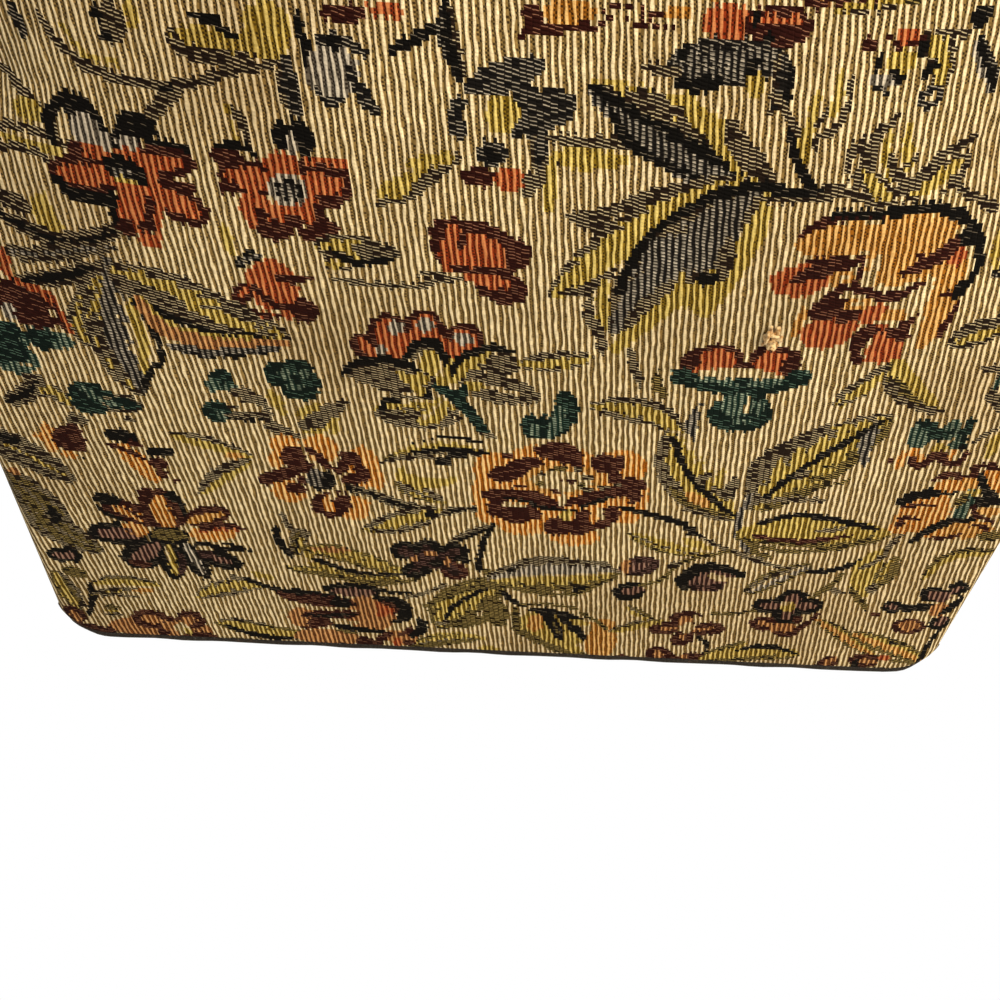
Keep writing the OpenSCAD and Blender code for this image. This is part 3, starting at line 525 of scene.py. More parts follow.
LEFT_EDGE = (
    Blob(-132, 153.5, 1.6, 4, RUST), Blob(-130, 144.4, 8.4, 4.8, MAROON),
    Blade(((-130, 149), (-123, 147), (-120, 141), (-118.2, 136)), 2.6, RUST, 0.2),
    Blade(((-122, 146), (-120.6, 140), (-119.4, 136.4)), 1.2, MAROON, 0.2), Blob(-134, 140, 2, 2.4, ASH),
    Blob(-127, 139, 6, 2.6, MAROON), Blob(-136, 134.5, 4.2, 3.2, TEAL), Blob(-126, 133.6, 8, 3, SEA),
    Blob(-128, 134, 6, 2.2, TEAL), Blob(-126.6, 131.6, 2.8, 1.6, TEAL), Blob(-138, 129, 7, 4.6, TEAL),
    Blob(-136.5, 123.2, 5, 1.8, SEA), Blob(-130.6, 126, 1.2, 3, SEA), Blob(-132, 120.5, 3.2, 1.8, BROWN),
    Leaf(((-141, 112), (-136, 115), (-131.6, 119)), 6.4, BLACK, 0.4, (BROWN, BROWN, BROWN, BROWN), 2, 4),
    Leaf(((-131.4, 117.6), (-127, 116), (-124, 113)), 5, OLIVE, 0.4, (BROWN, OLIVE, OLIVE, BROWN), 0.6, 3),
    Blob(-117.6, 115.4, 6.2, 5.8, TEAL), Blade(((-121, 119.6), (-114, 118), (-109, 116)), 3.4, TEAL, 0.3),
    Leaf(((-114, 113.6), (-109, 114.6), (-104.6, 114)), 6.4, TEAL, 0.4, (BROWN, TEAL, TEAL, BROWN), 0.8, 3),
    Blob(-117, 117, 3.4, 1.5, SEA, -35), Blob(-113, 114.6, 2, 0.9, SEA, -20),
    Blob(-123, 107.5, 3, 2.4, BROWN), Blob(-109, 109, 2, 1, BROWN), Blob(-80.4, 124.8, 3.6, 3.6, TEAL),
    Blob(-83, 122.6, 2.2, 2.2, SEA), Blob(-78.4, 122, 1.8, 1.6, SEA),
    Leaf(((-78, 120.4), (-74.6, 120), (-71, 117)), 4.2, BROWN, 0.4, (BROWN, BROWN, BROWN, BROWN), 0.6),
    Blob(-83.6, 113.2, 3.8, 4.2, TEAL), Blob(-82.4, 111.4, 1.8, 1.5, SEA),
    Blob(-80.6, 114.4, 1.6, 1.2, TEAL),
    Leaf(((-80.6, 111.6), (-75, 111.4), (-69, 112.6)), 3.4, BROWN, 0.4, (BROWN, BROWN, BROWN, BLACK), 0.6),
    Blade(((-80, 115.4), (-77.4, 115)), 1.3, BROWN),
)
TEAL_ROUND = (
    Blob(-65, 127.4, 3.8, 4.6, TEAL), Blob(-60, 129.6, 4.4, 3.6, TEAL), Blob(-56.6, 124.4, 2.6, 4.2, TEAL),
    Blob(-59.6, 121.6, 5.2, 3.4, TEAL), Blob(-61.6, 126, 4, 4, TEAL), Blob(-62.6, 127.4, 2.8, 2.2, SEA),
    Blob(-61, 123.4, 2.6, 1.4, SEA), Blob(-58.4, 128, 1.4, 1.2, SEA), Blob(-60.4, 126.4, 1.2, 1.6, TEAL),
    Blade(((-68, 121.6), (-66.6, 117.6), (-65, 113)), 3.4, OLIVE, 0.4), Blob(-57, 114.5, 5, 2.2, OLIVE, 25),
    Leaf(((-61, 108.5), (-55, 112.6), (-47.6, 118.4)), 5.4, BROWN, 0.5, (BROWN, BROWN, BROWN, BROWN), 0.6),
    Blade(((-70.6, 119), (-69.6, 113), (-70.4, 107.6)), 2.6, BROWN, 0.3),
    Leaf(((-69, 108.6), (-66, 106), (-62, 104)), 4.6, BROWN, 0.4, (BROWN, BROWN, BROWN, BROWN), 0.6),
    Leaf(((-60, 107), (-55.6, 108.4), (-50.6, 112)), 4.6, BROWN, 0.4, (BROWN, BROWN, OLIVE, OLIVE), 0.6, 3),
    Blob(-51.6, 108.6, 1.4, 3.4, OLIVE), Blob(-73, 117.5, 3, 1.2, BROWN),
)
TULIP = (
    Blob(72.6, 176.6, 10.6, 4.4, GOLD, 4),
    Blade(((62.4, 177.4), (66.6, 180.6), (72, 182.2), (82, 182)), 2.2, MAROON, 0.3),
    Blob(91, 172.6, 10.4, 9.4, GOLD), Blob(91, 179.2, 10.4, 3.2, GOLD, -4),
    Blade(((102.6, 173), (103.2, 162), (102, 147.6)), 8.2, GOLD, 0.35), Blob(103, 171.4, 2.4, 2.2, RUST),
    Blob(65.4, 165.8, 7.2, 4.4, RUST),
    Blade(((63.4, 165.8), (67.6, 168), (73, 169.6), (79.6, 171.8)), 4.2, MAROON, 0.4),
    Blade(((66, 171.4), (73, 171.8), (80, 171.6)), 1.5, MAROON),
    Blade(((79.6, 172), (79.6, 168), (79.2, 164.6)), 1.5, MAROON), Blob(75.8, 166.4, 3, 2.2, GOLD),
    Blob(76, 166.6, 1.6, 1.2, CREAM),
    Blade(((73, 161.4), (77, 163.8), (82, 163), (87, 161.4), (92, 162), (96.6, 165)), 2.6, MAROON, 0.2),
    Blob(89, 160.8, 2.6, 1.2, MAROON), Blob(75, 158.2, 5.4, 3.6, MAROON, 8),
    Blade(((71, 155.4), (77, 156), (84, 157)), 2.2, MAROON, 0.4), Blob(81.6, 159.4, 3.2, 1.9, GOLD),
    Blob(81.6, 159.6, 1.8, 1, CREAM), Blob(75.8, 150.2, 6.6, 4.8, RUST), Blob(80, 152.4, 3.8, 2.4, RUST),
    Blade(((77.6, 153.6), (81, 155), (85, 157.2)), 1.8, MAROON, 0.4), Blob(86.6, 156.4, 4, 2.6, RUST, 30),
    Blob(91.6, 156, 3.4, 1.8, GOLD), Blade(((68.4, 158), (68.2, 149)), 2.4, GOLD, 0.3),
    Blade(((97.6, 155), (93, 150.8), (87, 151), (84.8, 147), (86.6, 141)), 4.4, MAROON, 0.4),
    Blob(94.6, 149.2, 3.6, 1.7, MAROON, 10), Blob(92.6, 144.8, 5.2, 4, RUST),
    Blob(90, 149.4, 1.7, 1.6, RUST), Blob(90, 152.6, 1.4, 1, RUST),
    Blade(((70, 183.2), (77, 182.8), (84, 183), (90, 184), (97, 183), (103, 180), (107.6, 175), (109.2,
         168), (107.4, 162)), 2.7, BLACK, 0.12),
    Blob(106.4, 162.8, 1.8, 2.8, BLACK),
    Blade(((107.4, 159), (106.4, 154), (105, 149.4)), 2.2, MAROON, 0.3),
    Blob(103.4, 161.6, 1.3, 0.9, MAROON),
    Blade(((105.4, 178.4), (101, 174), (96.4, 170.6), (90.6, 167.8)), 4, MAROON, 0.5),
    Blob(104.6, 176.4, 2.6, 2.8, BLACK), Blob(93.6, 171.4, 1.2, 1.8, MAROON),
    Blade(((97.4, 167), (98, 160), (99.6, 150)), 1.5, CREAM, 0.2), Blob(83.2, 168.4, 1.5, 4.4, CREAM),
    Blade(((84, 164.6), (90, 163.4), (95.6, 166)), 1.3, CREAM, 0.2),
)
PANSY = (
    Petal(48.6, 140.4, 5.8, 8.2, RUST, 100, MAROON, 1.9), Blob(43.4, 140.4, 2.4, 3.4, MAROON),
    Petal(65, 140.6, 5.4, 7.2, RUST, 70, MAROON, 2), Blob(69.4, 140.6, 2.4, 4.4, MAROON, -10),
    Blob(57, 138.6, 2.4, 1.8, MAROON), Blob(70, 137.4, 2.6, 1.8, MAROON), Blob(56, 136.6, 10, 1.6, CREAM),
    Blade(((41, 135.4), (48, 132.6), (57, 131.6), (66, 132.4), (74, 135.6)), 6, SEA, 0.15),
    Blade(((41.4, 133.6), (48, 131.2), (57, 130.4), (66, 131), (73.4, 134)), 3.4, TEAL, 0.1),
    Blob(42.2, 134.8, 3.4, 2.8, TEAL), Blob(72.4, 135, 3.6, 2.9, TEAL),
    Blade(((46, 135), (50, 135.4), (53, 134.6)), 1.4, CREAM, 0.3),
    Blade(((61, 135), (65, 135.8), (69, 135.4)), 1.4, CREAM, 0.3), Blob(58, 133.6, 2.6, 1.2, TEAL),
    Blob(60, 122, 9, 7.2, TEAL), Blob(60, 128.4, 5.4, 2.4, TEAL), Blob(58.6, 124.8, 4.6, 4.6, SEA),
    Blob(60.6, 119, 2.8, 1.2, SEA), Blob(61.3, 125, 0.8, 3.4, CREAM), Blob(64.8, 124.4, 1.2, 3, SEA),
    Blob(60.8, 114.6, 0.9, 1.6, CREAM), Blade(((48.4, 124.6), (47.6, 117), (49, 110)), 3.2, GREY, 0.4),
    Blade(((48.8, 124), (49.6, 120)), 1, CREAM, 0.3),
)
MIDDLE = (
    Blade(((11.6, 126.4), (12.6, 119), (9, 110.4)), 7.6, TEAL, 0.4), Blob(5, 113.8, 4.4, 5, TEAL, 20),
    Blade(((10.8, 121), (10.8, 115), (8.6, 110)), 3.6, SEA, 0.3), Blob(4.4, 112.4, 1.8, 2.6, SEA),
    Blob(6.4, 116.4, 1.2, 2.6, TEAL), Blob(4.8, 119, 1.2, 2.4, CREAM),
    Leaf(((-1, 136), (8, 136.6), (17, 139.6)), 5.4, OLIVE, 0.5, (BROWN, OLIVE, OLIVE, BROWN), 0.6, 4),
    Blade(((0, 137.5), (7, 140), (17, 140.4)), 1.7, BROWN, 0.2),
    Leaf(((19.6, 122.6), (28, 121.8), (38, 120), (46, 112)), 8.4, OLIVE, 0.55,
         (BROWN, OLIVE, OLIVE, BROWN), 0.6, 4),
    Blade(((20, 123.4), (28, 125.6), (37, 123.6), (42.6, 119.6)), 2.4, BROWN, 0.4),
    Blade(((22, 121.6), (28, 118.6), (34, 117)), 1.8, BROWN, 0.3),
    Blade(((27, 143), (29, 137), (31.4, 130.6)), 2.8, BROWN, 0.4),
    Leaf(((35, 136), (36, 131), (39, 126)), 4.4, MOSS, 0.4, (CREAM, MOSS, MOSS, CREAM), 0.6, 3),
    Blob(42.6, 108, 2.8, 4, BROWN, -20), Blob(46.5, 106, 1.8, 4, OLIVE), Blob(2.5, 125, 2.6, 1.4, BROWN),
    Leaf(((110, 148), (116, 150.4), (124, 152.6)), 8, OLIVE, 0.5, (BROWN, BROWN, OLIVE, BROWN), 0.6, 3),
    Leaf(((85, 126.6), (89, 132), (97, 141)), 5.6, OLIVE, 0.5, (BROWN, BROWN, OLIVE, OLIVE), 0.6, 3),
    Blade(((86, 127), (89, 128.4), (92, 130)), 1.8, BROWN, 0.3),
    Leaf(((96, 141), (101, 134), (112, 126)), 8.4, MOSS, 0.5, (OLIVE, OLIVE, MOSS, BROWN), 0.8, 4),
    Blade(((97, 139), (99.4, 132.4), (104, 128), (114.6, 125.6)), 2.4, BROWN, 0.3),
    Blob(98.6, 139.4, 2, 3, OLIVE, -30), Blob(111.4, 117.2, 3.8, 4.8, SEA, -10),
    Blade(((109.4, 121.8), (113, 120), (116.8, 116)), 3.6, TEAL, 0.4), Blob(115, 118, 2.4, 2.2, TEAL),
    Blob(119.2, 119.2, 2.8, 3.4, SEA), Blade(((124, 122.8), (123, 117.4), (124.4, 113)), 3.4, TEAL, 0.3),
    Blade(((116, 116.6), (119.6, 118.6), (122.6, 117.6)), 1.8, TEAL, 0.3), Blob(122, 114.6, 1.4, 3, SEA),
    Blob(118.4, 112.8, 2.8, 1.4, OLIVE), Blob(124.6, 112.8, 1.5, 1.2, BLACK),
    Blob(109, 107.4, 1.5, 3.6, ORANGE), Blob(111.4, 110.4, 1.8, 2, ORANGE),
    Blob(118.6, 109.4, 3, 1.9, MAROON),
    Blade(((111.8, 108.4), (112.8, 105.8), (115.6, 105.8), (117, 109.4), (119.6, 110.4), (121, 108),
         (123, 106.6), (125.4, 107.2), (126.4, 111)), 2.6, MAROON, 0.1),
    Blob(114, 108.4, 1.2, 1.6, ORANGE), Blob(122.8, 110.4, 1.2, 2, ORANGE), Blob(126.5, 135, 0.9, 1.8, SEA),
    Blade(((127, 115), (131, 119), (134, 120.6)), 1.4, BROWN), Blob(133, 114, 2, 4.6, OLIVE),
    Blob(106, 107, 0.6, 0.8, MAROON),
)
OLIVE_LEAVES = (
    Leaf(((73, 86), (79, 97), (87, 108), (99, 121)), 21, BLACK, 0.55, (BROWN, OLIVE, OLIVE, MOSS), 2.4, 6.5),
    Blade(((68, 94), (69.6, 103), (75, 109.6), (85, 119)), 4.6, BROWN, 0.5),
    Blade(((76, 88), (86, 93), (97, 98.4)), 1.3, MOSS),
    Blade(((74, 87.4), (83, 89), (92, 88.8)), 2.6, BROWN, 0.4), Blob(83, 99.6, 2.6, 1.6, BROWN, 40),
    Blade(((98.4, 119), (97, 112), (99, 105)), 4, GREY, 0.5),
    Blade(((86, 118), (92, 118.6), (97, 121)), 1.2, OLIVE),
    Leaf(((66.5, 80.6), (57, 89), (49, 99), (43, 112)), 18, BLACK, 0.55,
         (BROWN, OLIVE, OLIVE, CREAM), 2.4, 6),
    Blade(((42, 110), (41.4, 101), (46, 92), (52, 87)), 3.6, BROWN, 0.4),
    Blob(55, 95.6, 1.8, 3.2, BROWN, -30), Blob(64, 92.6, 1.8, 4.8, BROWN),
    Blob(61.6, 90, 4.6, 2.4, BROWN, -35), Blob(59.6, 96, 1.2, 4, OLIVE),
    Blade(((46, 91), (53, 84.4), (66, 79.6)), 3.2, MOSS, 0.4), Blob(55, 86.4, 5, 1.8, GOLD, -35),
    Blade(((52, 82), (58, 80.4), (66, 78)), 1.4, BROWN), Blob(69.6, 97, 2.2, 6.6, BROWN, 4),
    Blob(71.5, 88, 2, 3.4, BROWN, 10), Blade(((70, 90), (68.6, 80), (70, 72), (75, 64)), 2.4, GREY, 0.1),
)
BROWN_BLOOM = (
    Blob(-66, 101, 4.4, 4, ORANGE), Blob(-56, 100, 5.5, 5.4, ORANGE), Blob(-44, 93, 5, 8.6, ORANGE),
    Blob(-66.5, 81.5, 5, 4.8, ORANGE), Blob(-48, 76, 5.4, 5.6, ORANGE), Blob(-69, 95, 2.2, 3.4, ORANGE),
    Blob(-40, 89, 2, 5, ORANGE), Blob(-64, 96.4, 3.8, 4.4, MAROON), Blob(-61, 92.4, 2.6, 2.6, MAROON),
    Blob(-68, 88.8, 7.6, 2.6, MAROON, 24), Blob(-73, 86, 2, 2.4, MAROON),
    Blade(((-59.4, 99.6), (-56.6, 96.6), (-54, 92.4)), 2.8, MAROON, 0.2),
    Blob(-47.6, 97, 3.4, 2.2, MAROON, -25), Blob(-49.6, 93.6, 1.8, 3.4, MAROON),
    Blob(-44.6, 91.4, 2, 4.4, MAROON, 20), Blob(-47.6, 88, 3.4, 2.4, MAROON, 20),
    Blob(-51.6, 91.4, 1.6, 1.2, MAROON), Blob(-64.4, 82.8, 3.4, 2.4, MAROON, -10),
    Blob(-61.6, 86.4, 1.8, 1.6, MAROON), Petal(-55, 76.4, 5.8, 5.6, ORANGE, 250, MAROON, 3.2),
    Blob(-51.4, 79.4, 2.8, 4, MAROON, -20), Blob(-50, 76.6, 2, 2.6, MAROON),
    Blob(-53.6, 80.6, 1, 2.2, CREAM, -14), Blob(-54.6, 74.8, 1.6, 1.4, ORANGE),
    Blob(-46, 83.6, 3, 2.2, BLACK, -20), Blob(-57.4, 87.4, 3.6, 4, GREY), Blob(-54.6, 87, 2, 4.2, BLACK),
    Blob(-57.6, 83.6, 2, 1.2, BLACK), Blob(-60.6, 98.6, 0.9, 2.6, CREAM, 20),
    Blob(-50.6, 84, 0.9, 3, CREAM),
)
ROSE_BLOOM = (
    Blob(13, 86.5, 25, 18, ORANGE), Blob(-5, 96, 7, 7, ORANGE), Blob(30, 98, 8, 8, ORANGE),
    Blob(35, 84, 5.5, 10, ORANGE), Blob(-6, 80, 6, 8, ORANGE), Blob(10, 101, 12, 6, ORANGE),
    Blob(20, 67.5, 8, 4.6, ORANGE), Blob(5, 72, 9, 4.6, ORANGE), Blob(14, 92.6, 12, 6.6, GOLD),
    Blob(14, 92, 9, 4.6, CREAM), Blob(12, 104, 7.2, 4, MAROON, -6),
    Blob(15.6, 100.6, 4.4, 2.2, MAROON, -20), Blob(2.6, 98.6, 5.6, 2.8, MAROON, 14),
    Blob(-2.6, 101.6, 1.6, 1.6, MAROON), Blob(-3, 94, 5, 3.4, MAROON, 12),
    Blob(1.4, 95.6, 2.4, 2.6, MAROON), Blob(25.4, 100.2, 4.2, 4, MAROON),
    Blob(28.6, 99, 2.6, 4, MAROON, -20), Blob(29.6, 102.6, 1.4, 1.4, MAROON),
    Blob(29, 94, 2.4, 2.4, MAROON, 30), Blob(33.6, 92.4, 4.4, 2.4, MAROON, 6), Blob(8, 94.6, 1.4, 1, BROWN),
    Blob(12.4, 97, 3, 1, MOSS, 12), Blob(18, 97.4, 2, 1, BROWN), Blob(21.4, 94, 2, 1.2, BROWN),
    Blob(16, 92, 2.2, 0.9, MAROON), Blob(7.6, 90.6, 1.6, 0.8, MOSS), Blob(20, 90.2, 1.6, 0.8, MOSS),
    Blob(13, 87.2, 2, 1.2, MAROON, -20), Blob(1.6, 89, 2.6, 1, MAROON, 20),
    Blob(28.6, 90, 3.6, 1.2, BROWN, 6), Blob(22, 88.4, 2, 1.2, BROWN), Blob(-5, 85, 4.4, 2.6, MAROON, 10),
    Blade(((-3, 85.6), (4, 85.6), (9, 83.4), (14, 80.6)), 4.4, MAROON, 0.3),
    Blade(((-2, 84), (4, 82.6), (10, 79.8), (20, 79.4)), 1.8, BLACK, 0.4),
    Blade(((15.6, 81.6), (22, 85), (30, 88), (38, 91)), 4.6, MAROON, 0.3),
    Blade(((20, 81), (25, 83.4), (29, 86.4)), 1.8, BLACK, 0.3), Blob(35, 86.4, 3.4, 3, MAROON),
    Blob(33.4, 84.6, 1.4, 1.2, ORANGE), Blob(15, 84, 1.2, 3.4, CREAM), Blob(-4.4, 81, 3.6, 1.6, MAROON, 20),
    Blob(1, 77.4, 8.6, 3.8, MAROON, -4), Blob(1.6, 74.6, 4.4, 2.2, MAROON),
    Blob(0.6, 80.8, 4.6, 0.9, CREAM), Blob(14.6, 71.6, 4.6, 4.4, MAROON, 24),
    Blob(21.4, 72, 5.2, 3.6, MAROON, 12), Blob(22, 77, 2.6, 3, MAROON, 10), Blob(16.6, 77, 2, 2.6, OLIVE),
    Blob(29.6, 78.4, 3.6, 3.6, MAROON, -30), Blob(28, 73.6, 2.4, 2.4, MAROON),
    Blob(27, 78, 1, 2.8, CREAM, 12), Blob(25, 76, 1, 2.2, ORANGE),
)
LEFT_LOW = (
    Blob(-132.6, 99.6, 2.6, 5.8, ORANGE), Blob(-135, 100, 2.4, 1, ORANGE),
    Blob(-127.2, 99.4, 4.8, 5, MAROON, 40), Blob(-125.4, 103, 2.8, 3, MAROON),
    Blob(-128.6, 93.6, 2, 1.6, ORANGE), Blob(-125.2, 92, 0.8, 0.9, BLACK),
    Blade(((-113, 98.4), (-109, 92), (-105.6, 84.6)), 6.4, ORANGE, 0.4),
    Blob(-112, 102.6, 4.8, 2.7, BLACK, -10), Blob(-108.6, 99.4, 2.2, 1.6, MAROON, -30),
    Blade(((-116, 98.8), (-111, 96.2), (-106.6, 93)), 2.2, MAROON, 0.3),
    Blob(-102, 96.4, 4.2, 1.9, BLACK, 8), Blob(-103.4, 91.8, 3.2, 2.2, MAROON, -20),
    Blob(-103, 87.4, 1.8, 2, MAROON), Blob(-99.4, 84.6, 1.2, 1, MAROON),
    Leaf(((-97, 103.6), (-88, 101), (-76, 96)), 5.4, OLIVE, 0.5, (BROWN, BROWN, OLIVE, OLIVE), 0.8, 4),
    Leaf(((-92.6, 80), (-86, 87.6), (-77, 94)), 6.4, BROWN, 0.5, (BROWN, BROWN, OLIVE, OLIVE), 0.8, 4),
    Blob(-81, 96, 3.4, 1.2, GOLD),
    Leaf(((-151, 99), (-143, 93.6), (-131, 83.4)), 12, OLIVE, 0.5, (BROWN, BROWN, BROWN, BROWN), 1),
    Blob(-145.6, 98.4, 4, 2.2, BLACK, -20),
    Blade(((-148, 90), (-140, 86.6), (-131, 83.2)), 2.2, BROWN, 0.3),
    Leaf(((-148, 83), (-143, 70), (-141, 60), (-131, 50)), 15, BROWN, 0.5, (BROWN, MOSS, MOSS, BROWN), 1.2),
    Blob(-140, 66, 2, 4, BLACK), Blob(-147, 84.6, 2.4, 1.4, ROSE),
    Petal(-143.6, 46, 3.6, 3.6, MAUVE, 170, BLACK, 2), Petal(-139.4, 46.6, 3.2, 3.8, MAUVE, 20, BLACK, 2),
    Blob(-140.5, 37.5, 4, 3, MOSS),
    Leaf(((-147, 36), (-145.4, 27), (-144, 18)), 8, OLIVE, 0.4, (BROWN, MOSS, OLIVE, MOSS), 1.2),
    Blade(((-137, 31.4), (-138, 24), (-141.5, 14)), 2.4, BLACK, 0.2),
    Petal(-146.4, 14, 5, 3.6, ROSE, 100, MAROON, 2.2), Blob(-142, 6, 7, 2.6, MAROON, -20),
)
DAISY = (
    Petal(-116.4, 69, 8.8, 5, ORANGE, 145, MAROON, 3.2), Blob(-121.8, 75, 4.2, 2.9, BLACK, -8),
    Blade(((-125.4, 72.4), (-123.6, 68), (-119, 65.6)), 2.2, BLACK, 0.4),
    Blade(((-117, 70.6), (-112, 66), (-110, 62.6)), 1.6, MAROON, 0.4),
    Petal(-106, 71, 9.8, 6.8, ORANGE, 92, MAROON, 3.2),
    Blade(((-112, 73), (-110.6, 79.4), (-106.4, 80)), 2.2, MAROON, 0.3),
    Blob(-102.2, 77.4, 2.6, 2.4, BLACK), Blade(((-101.4, 78), (-99.6, 73), (-99.6, 66.4)), 2.2, BLACK, 0.3),
    Blade(((-104, 76), (-103, 70), (-101, 66)), 1.5, MAROON, 0.3),
    Petal(-92.8, 68.2, 7.6, 4, GOLD, 22, MAROON, 2.2),
    Blade(((-100, 67), (-95, 71.4), (-86.4, 73.4)), 2.6, MAROON, 0.4),
    Blob(-92.4, 60.4, 7.6, 3.8, ORANGE, 6),
    Leaf(((-96.4, 61.6), (-90, 64.2), (-82.4, 63.4)), 4.4, MAROON, 0.6, (MAROON, MAROON, MAROON, RUST), 0.8),
    Petal(-122.4, 58.6, 9.2, 5.6, MAUVE, 184, BLACK, 2.8), Blob(-114.4, 61, 3, 2.6, ORANGE, -30),
    Blob(-118, 63.2, 2.6, 1.2, ORANGE, 10), Blade(((-119.4, 60), (-115, 57.4)), 1.4, ROSE, 0.3),
    Petal(-115.8, 48.4, 8.8, 6.4, MAUVE, 222, BLACK, 3.4), Blob(-118.4, 43.6, 3.6, 2, MAROON, -14),
    Petal(-107.6, 45.4, 10, 4, OLIVE, 268, BLACK, 2.6),
    Blade(((-108.6, 53), (-108.6, 45)), 1.2, CREAM, 0.3), Petal(-100, 46, 9.8, 3.9, ASH, 284, BLACK, 2.6),
    Blade(((-104.4, 50), (-104.6, 42), (-107, 37.6)), 2.2, PLUM, 0.4),
    Petal(-91.6, 47.2, 6.8, 4.6, MAUVE, -25, BLACK, 3.2), Blob(-96.4, 49.6, 2.4, 2.4, PLUM),
    Blade(((-100.6, 53.4), (-95, 55.2), (-90.4, 52.6), (-86, 53), (-81.4, 52.6)), 2.6, BLACK, 0.4),
    Blob(-85.6, 53.6, 2.6, 1.6, BLACK, -20), Blob(-89, 55.8, 1.6, 0.9, BLACK),
    Blob(-86.6, 46, 2, 2.6, BLACK), Blob(-106.2, 58.4, 6.2, 4.4, BLACK), Blob(-106, 58.8, 5.2, 3.2, MOSS),
)
LOW_LEFT = (
    Leaf(((-135, 32), (-127, 34.4), (-114, 32.4)), 5.4, OLIVE, 0.5, (BROWN, MOSS, OLIVE, OLIVE), 0.8, 4),
    Leaf(((-137.4, 26), (-130, 28.4), (-120, 29.6)), 3, BROWN, 0.4, (BROWN, BROWN, OLIVE, MOSS), 1, 3),
    Blade(((-136, 24.6), (-129, 26), (-123, 25.4)), 1.5, BROWN, 0.3), Blob(-120, 29, 3.6, 1.2, GOLD, 8),
    Blob(-132.6, 18.8, 3.2, 1.3, MOSS), Blob(-133, 14.6, 3.4, 1.2, BROWN),
    Blob(-133.6, 16.6, 2.4, 0.9, OLIVE), Blob(-118, 8, 18, 6.4, ROSE),
    Petal(-121.4, 13, 5.6, 5.6, ROSE, 170, MAROON, 3), Blob(-116.6, 15.4, 1.8, 2.4, MAROON, 30),
    Petal(-107, 13.6, 5.4, 5.2, ROSE, 40, MAROON, 2.8), Blob(-113.2, 13.4, 2.4, 1.3, MAROON, 20),
    Blade(((-123, 9.4), (-119, 8), (-115, 5)), 2.2, MAROON, 0.3), Blob(-117.6, 4.8, 2.4, 2, MAROON),
    Blob(-105.6, 4.4, 6.4, 2.6, MAROON), Blob(-110.4, 8, 2.6, 3.4, CREAM),
    Blob(-108.8, 6.6, 1.2, 1.6, OLIVE), Blob(-138, 4.6, 4.4, 2.4, MAROON),
    Leaf(((-102.6, 26.6), (-95, 31.6), (-87, 34.4), (-80, 34.6)), 8, OLIVE, 0.6,
         (BROWN, OLIVE, OLIVE, BROWN), 0.5, 4),
    Blade(((-100, 27), (-93, 28.6), (-85, 31.4)), 2.2, BROWN, 0.4),
    Blade(((-89, 39.6), (-82, 36), (-76, 33.4), (-70, 31.4)), 2.4, BLACK, 0.4),
    Blob(-79, 40, 4, 1.6, OLIVE, -20), Blob(-88, 38.6, 2.4, 1, BROWN, -20),
    Leaf(((-97, 12.6), (-88, 10.6), (-78, 8.2), (-68, 8.6)), 8.4, OLIVE, 0.5,
         (MOSS, OLIVE, OLIVE, MOSS), 0.6),
    Blade(((-97, 14), (-89, 14.8), (-81, 12.6)), 1.8, BROWN, 0.3),
    Blade(((-95, 11.4), (-88, 7.4), (-78, 5.2), (-70, 6)), 2.8, BLACK, 0.4), Blob(-90, 3, 8, 1, MOSS),
)
